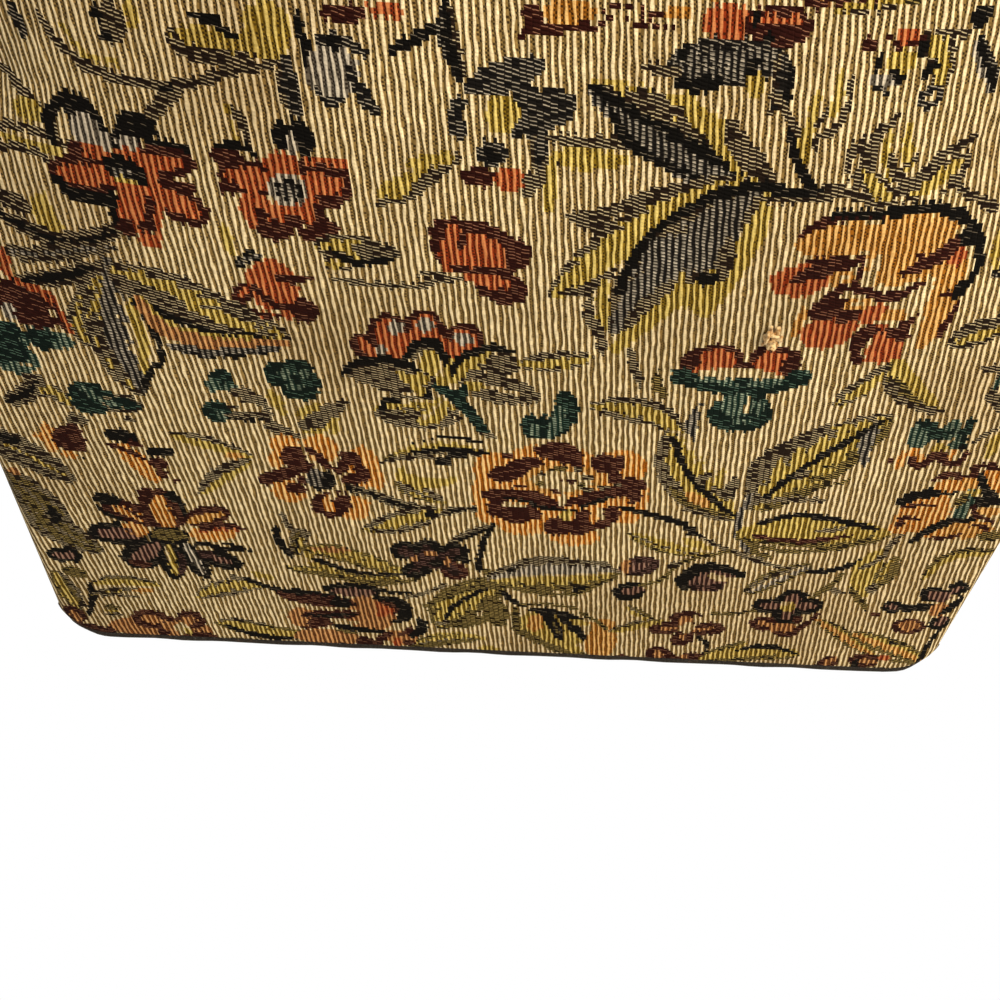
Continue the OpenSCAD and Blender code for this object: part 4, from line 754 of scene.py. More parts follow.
LOW_MIDDLE = (
    Blade(((-38, 97), (-30, 102.6), (-20, 106.6), (-10, 106.4)), 2.8, BLACK, 0.4),
    Leaf(((-37, 98), (-27, 102), (-18, 103.6), (-8, 102.6)), 6.4, MOSS, 0.5,
         (CREAM, OLIVE, CREAM, BROWN), 0.6, 4),
    Blade(((-30, 100.6), (-20, 102.6), (-8, 102.2)), 2.2, BLACK, 0.4),
    Blob(-20.6, 97.6, 2.6, 2.2, BLACK, 20), Blob(-17, 100.4, 3.4, 1.2, BLACK),
    Blade(((-39, 95.6), (-30, 98.6), (-22, 99)), 1.6, BROWN, 0.3), Blob(-26, 91, 9, 5, OLIVE),
    Blob(-24, 93.6, 8, 3, CREAM),
    Leaf(((-34, 88), (-29, 84), (-21, 80.6)), 5, BROWN, 0.4, (OLIVE, BROWN, OLIVE, MOSS), 0.6, 4),
    Blade(((-33, 87), (-31, 83)), 1.8, BROWN, 0.3),
    Blade(((-27, 86), (-23, 83.6), (-21, 81)), 2, BROWN, 0.3),
    Leaf(((-49, 85), (-41, 82), (-32, 78), (-22, 76.4), (-11, 78.4)), 4.2, BLACK, 0.4,
         (BROWN, BROWN, BLACK, BROWN), 0.8),
    Leaf(((-22, 76), (-33, 71.4), (-44, 66.4)), 9, OLIVE, 0.55, (BROWN, OLIVE, OLIVE, BROWN), 0.5),
    Blade(((-43, 67), (-36, 66), (-26, 70)), 2, BROWN, 0.2),
    Blade(((-43, 68), (-36, 73), (-28, 76.4)), 2, BROWN, 0.2), Blob(-24.6, 75, 2.2, 1.4, BLACK),
    Blade(((-70, 72), (-68.4, 66), (-66, 63)), 2.2, BROWN, 0.2),
    Leaf(((-64, 64), (-66, 59), (-67, 52)), 6, BLACK, 0.5, (BROWN, OLIVE, MOSS, BROWN), 0.8, 4),
    Blade(((-72.4, 65), (-72, 58), (-68.6, 51)), 2.8, BLACK, 0.2), Blob(-63, 53, 1.6, 3, OLIVE),
    Blob(-63.4, 62, 1.6, 2.4, BROWN, -30),
    Leaf(((-64, 55.6), (-54, 54), (-44, 50.4), (-33, 45.4)), 8, MOSS, 0.45, (MOSS, OLIVE, OLIVE, MOSS), 0.6),
    Blob(-56, 55.6, 6.5, 1.2, ROSE),
    Blade(((-62, 50.4), (-52, 46), (-42, 43.6), (-32, 45.4)), 2.4, BLACK, 0.2),
    Leaf(((-70, 45), (-58, 43.6), (-46, 41), (-34, 42)), 5.4, MOSS, 0.4, (MOSS, OLIVE, MOSS, MOSS), 0.5),
    Blade(((-48, 39), (-38, 39), (-28, 43)), 1.8, MOSS), Blob(-60, 47, 4.5, 1.2, OLIVE, -20),
    Petal(-33, 57, 4.4, 4.6, PLUM, 160, BLACK, 2.4), Petal(-25.4, 58.6, 4.8, 4.6, PLUM, 100, BLACK, 2.6),
    Petal(-17, 57.4, 4.8, 4.6, PLUM, 40, BLACK, 2.6), Petal(-29, 47.8, 5.2, 4.2, PLUM, 215, BLACK, 2.4),
    Petal(-17, 48, 5, 4.2, PLUM, -40, MAROON, 2.2), Blob(-24, 52.6, 7, 4.4, PLUM),
    Blob(-22.6, 51.6, 2.6, 1.8, BLACK), Blob(-26, 47.6, 2.4, 2.4, BLACK), Blob(-24, 56.4, 2.4, 1.2, ROSE),
    Blob(-19, 52.6, 1, 2, ROSE), Blob(-29.4, 53, 1.2, 1.6, ROSE), Blob(-13, 53, 1.4, 2, BLACK),
    Leaf(((-18, 62), (-12, 67), (-5, 71)), 3.6, BROWN, 0.4, (BROWN, BROWN, BLACK, BLACK), 0.5),
    Blade(((-5, 72), (-7.6, 64), (-8.8, 56), (-9, 49)), 2.4, BLACK, 0.1),
    Blade(((-6, 48), (-3, 44)), 3.6, MOSS), Blade(((-32, 32.6), (-25, 36), (-20, 40)), 2, BROWN),
    Leaf(((-3, 41), (-10, 36), (-17, 28), (-20, 18)), 17, BLACK, 0.5, (MOSS, OLIVE, OLIVE, MOSS), 2.2, 6),
    Blade(((-26, 28), (-18, 35), (-8, 40.6), (-3, 40)), 3.6, MOSS, 0.3), Blob(-3, 27, 4.6, 9, MOSS, 15),
    Blob(-12, 20, 8, 3, MOSS, 20), Blob(-20.5, 19, 2.6, 1.2, BROWN),
    Leaf(((-31, 4.6), (-20, 8.6), (-8, 11)), 7, BROWN, 0.4, (MOSS, OLIVE, MOSS, MOSS), 0.8),
    Blade(((-24, 11.4), (-16, 13), (-6, 11)), 1.4, OLIVE), Blob(-4, 4.6, 4, 1.6, OLIVE),
)
LOW_BLOOM = (
    Blob(-45, 22, 9, 10, ROSE), Blob(-60, 7, 12, 5, ROSE), Blob(-68, 18, 5, 6, ROSE),
    Blob(-35, 9, 6, 4.4, ROSE), Petal(-50, 35, 3.6, 10, MAUVE, 90, BLACK, 2.4),
    Blade(((-40, 35.6), (-36, 34.6), (-31, 35)), 1.6, BLACK, 0.3),
    Leaf(((-74, 31), (-64, 29.4), (-51, 27.4)), 8.4, MAROON, 0.4, (BLACK, MAROON, MAROON, MAROON), 1, 4),
    Blob(-54.6, 27, 4, 2.2, BLACK, -8), Blob(-68, 32.4, 5, 1.6, BLACK),
    Blade(((-63, 23.6), (-56, 24), (-50, 23.2)), 1.7, CREAM, 0.3),
    Leaf(((-67, 19.6), (-58, 20.6), (-50, 21.4)), 5.4, BLACK, 0.3, (MAROON, MAROON, BLACK, MAROON), 0.8, 4),
    Blob(-41.4, 25, 3.2, 4.6, RUST), Blob(-44, 26, 1.4, 5, ROSE),
    Blade(((-43, 31), (-36.4, 30.2), (-33, 26), (-33.4, 20.4), (-37, 18)), 4.8, BLACK, 0.45),
    Blade(((-41, 29), (-37.4, 27.6), (-36.6, 22.6)), 2.4, MAROON, 0.3), Blob(-38, 24.4, 1.2, 2.4, RUST),
    Blade(((-27.8, 20), (-27.4, 14.6), (-31, 9.4)), 4.4, BLACK, 0.4),
    Blade(((-31, 16), (-32.2, 12.6), (-35, 10)), 2.6, MAROON, 0.3), Blob(-62.4, 15.4, 4.6, 2.8, MAROON, 8),
    Blade(((-59, 16.6), (-54, 16), (-49, 17)), 1.8, CREAM, 0.3),
    Blade(((-58, 14), (-49, 12.6), (-39.6, 11.4)), 3.2, BLACK, 0.4),
    Blade(((-57, 11.6), (-50, 10.2)), 1.8, MOSS, 0.3), Blade(((-69, 12.2), (-63, 12.6)), 1.8, MAROON, 0.3),
    Blob(-47.6, 5.6, 3.4, 3, MAROON), Blade(((-44.6, 1.6), (-42, 6.6), (-38.6, 11)), 3.8, MAROON, 0.3),
    Blob(-36, 6, 1.4, 3, RUST), Blob(-55, 2.4, 3.4, 1.2, MAROON), Blob(-32, 6, 2, 1.4, MAROON),
)
LOW_RIGHT = (
    Blade(((33, 81.4), (42, 79), (51, 76), (57, 71.4)), 2.6, BLACK, 0.2),
    Blade(((57, 71.4), (66, 65.4), (80, 60)), 1.8, BROWN, 0.2), Blob(55.6, 71, 2.4, 1.2, BLACK),
    Leaf(((37, 69.6), (44, 66), (52, 63.4), (60, 61.6)), 5.6, BROWN, 0.5,
         (OLIVE, OLIVE, OLIVE, MOSS), 0.8, 4),
    Blob(58, 66.4, 6, 1.6, OLIVE, -25),
    Leaf(((-3, 44.5), (9, 47.4), (20, 48.4), (33, 50.4)), 17, CREAM, 0.45, (BROWN, ASH, OLIVE, MOSS), 0.8),
    Blade(((0, 49.6), (5, 54.6), (15, 56.6), (23, 54.4), (31, 55.6)), 2.2, BROWN, 0.4),
    Blob(12, 51, 8, 1.6, ASH, 6), Blob(25.4, 41.8, 4.2, 1.3, BLACK, 10),
    Blade(((-1, 41), (10, 38.6), (22, 38.8), (30, 43.6)), 2.2, MOSS, 0.3), Blob(1.6, 49.4, 1.4, 1.4, BLACK),
    Petal(42, 54.6, 6.4, 4.8, MAUVE, 20, PLUM, 3), Blob(37.6, 54, 1.4, 3.4, ROSE),
    Petal(40.4, 41.6, 5.6, 4.8, MAUVE, 200, BLACK, 2.8),
    Blade(((44, 45.4), (50, 48.4), (53.5, 56), (60, 60.4), (69, 63.4)), 1.9, MOSS),
    Blob(53, 56, 2.6, 1.6, BROWN, 30), Blob(64.4, 48, 6.4, 5, MAUVE), Blob(68.4, 50.6, 4, 1.8, CREAM, -14),
    Blob(61.6, 45.4, 2.4, 1.8, PLUM), Blob(68, 45.4, 2.6, 2, PLUM),
    Blade(((58.6, 43.4), (56.8, 48.6), (60.6, 54), (67, 55), (75.6, 52)), 6, BLACK, 0.5),
    Blade(((62, 52.4), (67, 53), (73, 51.4)), 1.4, MAUVE, 0.3),
    Petal(61.4, 28, 4.6, 5.6, ROSE, 95, MAROON, 3.2), Petal(55, 21.8, 5, 4.2, ROSE, 185, MAROON, 3.2),
    Petal(70, 22.4, 5.8, 3.8, ROSE, 10, MAROON, 3), Petal(62.2, 16.4, 4.8, 4, ROSE, 268, MAROON, 3.2),
    Blob(63, 22.6, 2.4, 3.4, CREAM), Blob(65.4, 27, 1.2, 3, CREAM, 20),
    Blade(((67.6, 17.6), (71.2, 13.4), (72, 6.6)), 2, BLACK, 0.2),
    Blade(((70, 31.6), (76, 31), (84, 33.8), (88, 34)), 1.8, MOSS), Blob(17, 18, 13, 8.6, OLIVE, -32),
    Blob(11, 21.6, 2.8, 5, GOLD), Blob(24, 24, 5, 2, OLIVE, -20),
    Blade(((8.4, 29.2), (17, 28.4), (26.4, 25.2)), 3.6, BLACK, 0.5),
    Blade(((12.6, 28.6), (17, 22), (20.8, 12)), 4.6, BLACK, 0.55),
    Blade(((18.4, 26.6), (22.4, 22), (24.6, 17.4)), 2.8, BLACK, 0.4),
    Blade(((25, 21.6), (27.6, 16), (29, 11.4)), 2.8, BLACK, 0.4),
    Blade(((17.4, 22.6), (19.2, 16.6)), 1.2, MOSS, 0.3),
    Blade(((-1, 38.4), (2, 34), (7, 30.6)), 2.4, BLACK, 0.2),
    Blade(((6, 31.6), (16, 32.4), (24, 31)), 1.6, MOSS),
    Blade(((4, 18), (11, 12.6), (20, 6.4), (30, 3.4)), 3.6, MOSS, 0.3), Blob(4.6, 22, 1.5, 8, MOSS, 6),
    Blob(24, 8, 5, 2.2, OLIVE, -30), Blob(34.6, 12, 5.4, 11, GOLD), Blob(34, 22.6, 4.4, 3.6, GOLD),
    Blade(((25, 29), (31, 25), (36, 20)), 2.2, MOSS, 0.3),
    Leaf(((41, 34), (46, 29.4), (53, 25)), 3.4, BROWN, 0.4, (MOSS, MOSS, OLIVE, OLIVE), 0.6),
    Leaf(((37, 18.6), (44, 22.4), (53, 26.6)), 5, OLIVE, 0.5, (BROWN, MOSS, OLIVE, OLIVE), 0.6, 4),
    Petal(55.6, 5.4, 5.6, 4.6, ROSE, 120, MAROON, 2.8), Blob(60, 3.6, 3.6, 2.4, MAROON),
    Blob(67.5, 5, 4.4, 3.2, MAROON), Blob(64.6, 5, 1.4, 1.6, ROSE), Blob(43, 3.4, 2.2, 1.6, MAROON),
    Leaf(((71, 3.6), (77, 9), (83.6, 14.4)), 6.4, OLIVE, 0.4, (MOSS, MOSS, OLIVE, OLIVE), 0.6, 4),
)
FAR_RIGHT = (
    Leaf(((113, 74.6), (100, 74), (86, 74.4), (72, 72)), 15, OLIVE, 0.45,
         (MOSS, OLIVE, OLIVE, OLIVE), 0.6, 6),
    Blade(((75, 77), (81, 80.4), (88, 82.2), (98, 80.6), (110.6, 77.4)), 2.6, BLACK, 0.12),
    Blade(((75, 71.5), (83, 70.2), (92, 70), (104, 73.5)), 2.4, MAROON, 0.4), Blob(98, 76, 5, 1, BROWN, 12),
    Blade(((74, 68), (80, 66), (90, 65), (102, 67), (111, 73.6)), 2, MOSS, 0.2),
    Blade(((70, 64), (78, 59.6), (90, 56)), 1.9, BROWN, 0.1),
    Blade(((90, 55.4), (98, 55.4), (106, 57.4), (113, 63.4)), 2.6, BLACK, 0.1),
    Blade(((113, 62), (116.4, 67), (119.6, 75)), 2.2, BROWN, 0.2), Blob(80, 62.5, 3.4, 1.2, MOSS, -20),
    Blade(((73, 70), (76, 65), (80, 62)), 2.6, MOSS, 0.2), Blob(122.6, 85.6, 7.8, 9.2, ORANGE),
    Blob(118.4, 80, 3.6, 4.6, ORANGE),
    Blade(((113.4, 89.4), (117, 92), (121.6, 94.6), (128, 95.4)), 4.4, BLACK, 0.3),
    Blob(116.4, 93.2, 2.6, 1.6, BLACK, 30), Blob(122.6, 96.4, 2.4, 1.5, BLACK),
    Blade(((115, 87.6), (120, 89), (125, 89.4)), 1.8, MAROON, 0.3),
    Blade(((116, 82.4), (119, 83), (122.6, 82.6)), 2, MAROON, 0.3), Blob(117, 79.8, 1.6, 1.6, MAROON),
    Blob(126, 92, 2, 1.6, ORANGE), Blob(128, 98.4, 7, 2.6, ORANGE, 10), Blob(132, 100, 2.8, 3.4, GOLD),
    Blade(((120.2, 100.2), (124, 102.2), (129, 102), (134, 103.8)), 2.8, MAROON, 0.3),
    Blob(138, 101, 3.4, 6, ORANGE, 20), Blade(((130, 105.4), (134, 106.6), (138.6, 105)), 2.2, MAROON, 0.2),
    Blade(((133.4, 103.4), (136, 98.6), (139.4, 95), (145, 91.4)), 3, BLACK, 0.3),
    Blob(138, 92, 3.4, 2.6, BLACK), Blob(141.6, 92.4, 3.4, 2.2, BLACK, -14),
    Blade(((133, 96), (133.2, 90), (134, 84)), 4.8, SEA, 0.3), Blob(131.6, 92.6, 1.4, 3.4, MOSS),
    Blob(134, 95.6, 2.4, 1.2, OLIVE), Blob(141, 87.8, 4, 2, GOLD),
    Blade(((136.4, 90), (138, 86.4), (145, 83)), 1.8, MAROON, 0.3), Blob(137, 79.2, 8.6, 4.4, GOLD, 8),
    Blob(128.6, 77, 3.4, 2.6, ORANGE), Blade(((128, 74.4), (133, 75), (137.4, 77.2)), 1.8, MAROON, 0.3),
    Blade(((138, 80.6), (141.6, 81.4), (145, 78.6)), 1.8, MAROON, 0.3),
    Blade(((123.2, 72), (126.4, 77.4), (131.6, 82.4), (138, 83.8)), 3.6, BLACK, 0.4),
    Blob(146, 77, 4, 2.4, MOSS), Blade(((115.6, 66), (113.6, 56), (116, 44)), 8.4, OLIVE, 0.4),
    Leaf(((121.4, 64), (121, 56), (119, 48)), 6.4, MOSS, 0.5, (MOSS, MOSS, OLIVE, MOSS), 0.8, 4),
    Blade(((118, 68), (116, 62), (112, 58)), 2.4, BROWN, 0.2),
    Blade(((107, 54), (104.6, 48), (101, 42)), 2.6, MOSS, 0.2),
    Blade(((112, 47), (116, 42), (119.6, 37)), 2.6, MOSS, 0.2), Blob(118.4, 48, 1.8, 3, BROWN),
    Blob(108.4, 45.4, 3, 1.4, BROWN, -20),
    Leaf(((79, 43.6), (85, 50), (95, 58)), 8.4, CREAM, 0.5, (MOSS, BROWN, ASH, MOSS), 0.8, 4),
    Petal(94.4, 40.8, 4.8, 5.2, MAUVE, 92, BLACK, 2.6), Petal(87.4, 36.4, 5.4, 4.2, MAUVE, 178, BLACK, 2.4),
    Petal(100.8, 37, 4.6, 4.4, MAUVE, 5, BLACK, 2.4), Petal(94.8, 31, 5, 4.8, MAUVE, 265, BLACK, 2.8),
    Blob(94.4, 36, 2.6, 2.4, OLIVE), Blob(92.6, 37.8, 1.6, 1.2, CREAM),
    Petal(88, 26.4, 4.8, 3.8, ROSE, 160, MAROON, 2.6), Blob(96, 24, 5.4, 3.2, ROSE),
    Blade(((93, 21.6), (98, 20.8), (101, 25), (104.8, 32.6)), 2.8, MAROON, 0.3),
    Blob(99, 29.6, 1.6, 2.4, MAROON),
    Leaf(((105.6, 30), (114, 24), (122, 17.6), (130, 12)), 6, GOLD, 0.5, (MOSS, OLIVE, GOLD, MOSS), 1),
    Leaf(((120, 23), (130, 19), (139, 14.6), (149, 8.4)), 8.6, GOLD, 0.5, (MOSS, OLIVE, GOLD, MOSS), 1.2),
    Blob(134.4, 19, 1.6, 1.1, BLACK), Blade(((130, 11.6), (138, 9), (146, 7)), 1.8, MOSS, 0.2),
    Petal(127.6, 8, 5.2, 4.6, ROSE, 170, MAROON, 3), Blob(134, 10.2, 2.4, 2, RUST),
    Blade(((125, 8), (125.4, 4.6), (128, 2.6)), 2.4, BLACK, 0.3),
    Petal(115.4, 5.4, 4.6, 3.6, ROSE, 240, MAROON, 2.2),
    Blade(((130, 2.6), (140, 2.8), (148, 3)), 2.4, BLACK, 0.2),
    Leaf(((103, 10), (93, 9.6), (82, 8), (72, 3.6)), 9, OLIVE, 0.4, (MOSS, OLIVE, OLIVE, OLIVE), 0.6),
    Blade(((82, 10.4), (88, 13), (95, 13.4), (103, 10.4)), 2.8, BLACK, 0.5),
    Blade(((74, 3.6), (84, 5.4), (97, 8.6)), 1.8, MOSS, 0.3),
    Petal(128, 39.2, 3.8, 3.2, MAUVE, 175, BLACK, 1.8), Petal(138.6, 47, 4.2, 4.2, MAUVE, 130, BLACK, 2.4),
    Petal(145.8, 51, 3.6, 3.6, MAUVE, 60, BLACK, 2.4), Blob(142, 46, 3, 2.4, MAUVE),
    Blade(((130.4, 39), (135, 39.4), (141, 41)), 4.4, BLACK, 0.4), Blob(143.6, 39, 3.2, 3.8, ROSE),
    Blade(((148.6, 46), (147, 41), (144.6, 37)), 3, BLACK, 0.3),
    Petal(146, 32, 3.8, 3.6, MAUVE, 250, BLACK, 2), Blob(124, 34.6, 2.2, 1.3, MAROON),
    Petal(136.6, 29, 4.4, 5.8, ROSE, 265, MAROON, 2),
    Blade(((131.6, 31.6), (136, 33), (141, 31.6)), 1.6, MAROON, 0.3),
    Blade(((147.6, 29), (146.6, 18), (147, 6)), 1.8, BLACK, 0.2),
    Leaf(((133, 55), (135.6, 64), (141, 68.4), (151, 69.6)), 4.6, OLIVE, 0.4,
         (MOSS, MOSS, OLIVE, OLIVE), 0.6, 4),
)
MOTIFS = (
    *LEFT_LEAVES, *FEATHERS, *TOP, *GREY_LEAF, *RUST_STAR, *ROUND_STAR, *BUD, *SMALL_LEAF, *POPPY, *FAN,
    *LEFT_EDGE, *TEAL_ROUND, *TULIP, *PANSY, *MIDDLE, *OLIVE_LEAVES, *BROWN_BLOOM, *ROSE_BLOOM, *LEFT_LOW,
    *DAISY, *LOW_LEFT, *LOW_MIDDLE, *LOW_BLOOM, *LOW_RIGHT, *FAR_RIGHT,
)


@dataclass(frozen=True)
class Placing:
    """A motif woven again elsewhere on the cloth.

    Attributes:
        motif: fields of colour to repeat.
        dx: shift across the cloth.
        dz: shift up the cloth.
    """

    motif: tuple[Blob | Blade, ...]
    dx: float
    dz: float


@dataclass(frozen=True)
class TapestryDesign:
    """The pattern of the cloth and the size of its threads, in millimetres.

    Attributes:
        rib: width of one cord.
        pick: height of one crossing thread.
        cell: width and height of the smallest patch of one yarn.
        slant: lean of the cords in degrees.
        uneven: spread of the motifs' edges.
        motifs: what is woven, in order.
        repeats: motifs woven again where the cloth runs on.
    """

    rib: float = 1.64
    pick: float = 0.83
    cell: tuple[float, float] = (0.82, 1.08)
    slant: float = 6.9
    uneven: float = 0.22
    motifs: tuple[Blob | Blade, ...] = MOTIFS
    repeats: tuple[Placing, ...] = (
        Placing(LOW_LEFT, 0, 224),
        Placing(LOW_BLOOM, 2, 224),
        Placing(LOW_RIGHT, 0, 224),
        Placing(FAR_RIGHT, 0, 224),
        Placing(BUD, -76, 66),
        Placing(TEAL_ROUND, -78, 118),
        Placing(BUD, 192, 50),
        Placing(ROUND_STAR, 186, 4),
        Placing(TEAL_ROUND, 196, 22),
    )

    def thread(self, x: np.ndarray, z: np.ndarray) -> np.ndarray:
        """Counts the threads up to each place.

        Args:
            x: places across the cloth in millimetres.
            z: places up the cloth in millimetres.

        Returns:
            The number of cords and of picks, and a zero, for each place.
        """
        lean = math.tan(math.radians(self.slant))
        return np.stack([(x + lean * z) / self.rib, z / self.pick, np.zeros_like(x)], -1)

    def yarns(self, x: np.ndarray, z: np.ndarray, seed: int) -> np.ndarray:
        """Picks the yarn that shows at each place.

        Args:
            x: places across the cloth in millimetres.
            z: places up the cloth in millimetres.
            seed: seed of the small unevenness along the edges of the motifs.

        Returns:
            The index of the yarn in Yarn.
        """
        rng = np.random.default_rng(seed)
        x = x + rng.normal(0, self.uneven, x.shape)
        z = z + rng.normal(0, self.uneven, z.shape)
        shown = np.zeros(x.shape, int)
        for place in self.repeats:
            for mark in place.motif:
                mark.paint(shown, x - place.dx, z - place.dz)
        for mark in self.motifs:
            mark.paint(shown, x, z)
        return shown


@dataclass(frozen=True)
class BagForm:
    """The outline of the bag, in millimetres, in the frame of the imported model.

    Attributes:
        half_w: half the width.
        half_d: half the depth at the foot.
        lean: how far a panel leans in for each millimetre up.
        corner_r: radius of the lower corners.
        seam_inset: distance from the outline to where a panel rolls over its seam.
        strip_clear: distance from a panel's face to a gusset's edge.
        cloth_t: thickness of the cloth.
        pleat_depth: depth of a gusset's pleat at its top.
        pleat_z: height where the pleat starts.
        gusset_top: height of the gussets.
        neck_z: height where the panels narrow towards the frame.
        neck_half_w: half the panels' width in the frame.
        cloth_top: height of the panels.
        mouth_corner_z: height where the panels' upper corners start.
        mouth_corner_r: radius of the upper corners.
        mouth_y: distance of the clamped cloth from the middle of the bag.
        hinge_z: height of the frame's hinges.
        edge_draw_z: height where a panel's side edges start to draw in.
        middle_draw_z: height where a panel's middle starts to draw in.
    """

    half_w: float = 152.5
    half_d: float = 60.0
    lean: float = math.tan(math.radians(6))
    corner_r: float = 16.0
    seam_inset: float = 4.6
    strip_clear: float = 2.6
    cloth_t: float = 2.0
    pleat_depth: float = 32.0
    pleat_z: float = 60.0
    gusset_top: float = 197.0
    neck_z: float = 184.07
    neck_half_w: float = 138.0
    cloth_top: float = 255.0
    mouth_corner_z: float = 249.0
    mouth_corner_r: float = 6.0
    mouth_y: float = 7.1
    hinge_z: float = 205.0
    edge_draw_z: float = 90.0
    middle_draw_z: float = 150.0

    def edge_y(self, z: np.ndarray) -> np.ndarray:
        """Gives the depth of the cloth at the panel's side edge.

        Args:
            z: heights.

        Returns:
            The distance from the middle of the bag.
        """
        reach = self.half_d - self.lean * self.gusset_top - self.mouth_y
        share = np.maximum(0, z - self.edge_draw_z) / (self.gusset_top - self.edge_draw_z)
        drawn = self.half_d - self.lean * z - reach * share**2
        return np.where(z >= self.gusset_top, self.mouth_y, drawn)

    def middle_y(self, z: np.ndarray) -> np.ndarray:
        """Gives the depth of the cloth in the panel's middle.

        Args:
            z: heights.

        Returns:
            The distance from the middle of the bag.
        """
        reach = self.half_d - self.lean * self.cloth_top - self.mouth_y
        share = np.maximum(0, z - self.middle_draw_z) / (self.cloth_top - self.middle_draw_z)
        return self.half_d - self.lean * z - reach * share**2

    def panel_y(self, share: np.ndarray, z: np.ndarray) -> np.ndarray:
        """Gives the depth of the panel's face.

        Args:
            share: place across the panel, from -1 to 1.
            z: heights.

        Returns:
            The distance from the middle of the bag.
        """
        edge = self.edge_y(z)
        return edge + (self.middle_y(z) - edge) * (1 - np.abs(share) ** 4)

    def fold(self, side: int) -> tuple[tuple[float, float, float], tuple[float, float, float]]:
        """Says where the cloth turns when a half of the frame opens.

        Args:
            side: -1 for the front, 1 for the rear.

        Returns:
            The points, in metres, where the turn starts and where it is full.
        """
        low_y, high_y, drop = 0.021, 0.009, 5
        start = (0, side * low_y, (self.hinge_z - drop) * MM)
        return start, (0, side * high_y, (self.cloth_top - drop) * MM)

    def panel_half_w(self, z: np.ndarray) -> np.ndarray:
        """Gives half the panel's width above its lower corners.

        Args:
            z: heights.

        Returns:
            The half width.
        """
        wide = self.half_w - self.seam_inset
        neck = wide + (self.neck_half_w - wide) * (z - self.neck_z) / (self.gusset_top - self.neck_z)
        over = np.maximum(0, z - self.mouth_corner_z)
        arch = np.sqrt(np.maximum(0, self.mouth_corner_r**2 - over**2))
        top = self.neck_half_w - self.mouth_corner_r + arch
        return np.where(z <= self.neck_z, wide, np.where(z <= self.gusset_top, neck, top))

    def pleat(self, z: np.ndarray) -> np.ndarray:
        """Gives the depth of the gusset's inward pleat.

        Args:
            z: heights.

        Returns:
            The depth of the fold.
        """
        share = np.maximum(0, z - self.pleat_z) / (self.gusset_top - self.pleat_z)
        return self.pleat_depth * share**1.5


def add_node(tree: bpy.types.NodeTree, kind: str, inputs: dict | None = None, **settings) -> bpy.types.Node:
    """Adds a node and fills its inputs.

    Args:
        tree: tree that takes the node.
        kind: type of node, without its ShaderNode prefix.
        inputs: value or output socket for each input, by name or number.
        settings: properties of the node.

    Returns:
        The node.
    """
    node = tree.nodes.new("ShaderNode" + kind)
    for name, value in settings.items():
        setattr(node, name, value)
    for name, value in (inputs or {}).items():
        if isinstance(value, Socket):
            tree.links.new(value, node.inputs[name])
        else:
            node.inputs[name].default_value = value
    return node


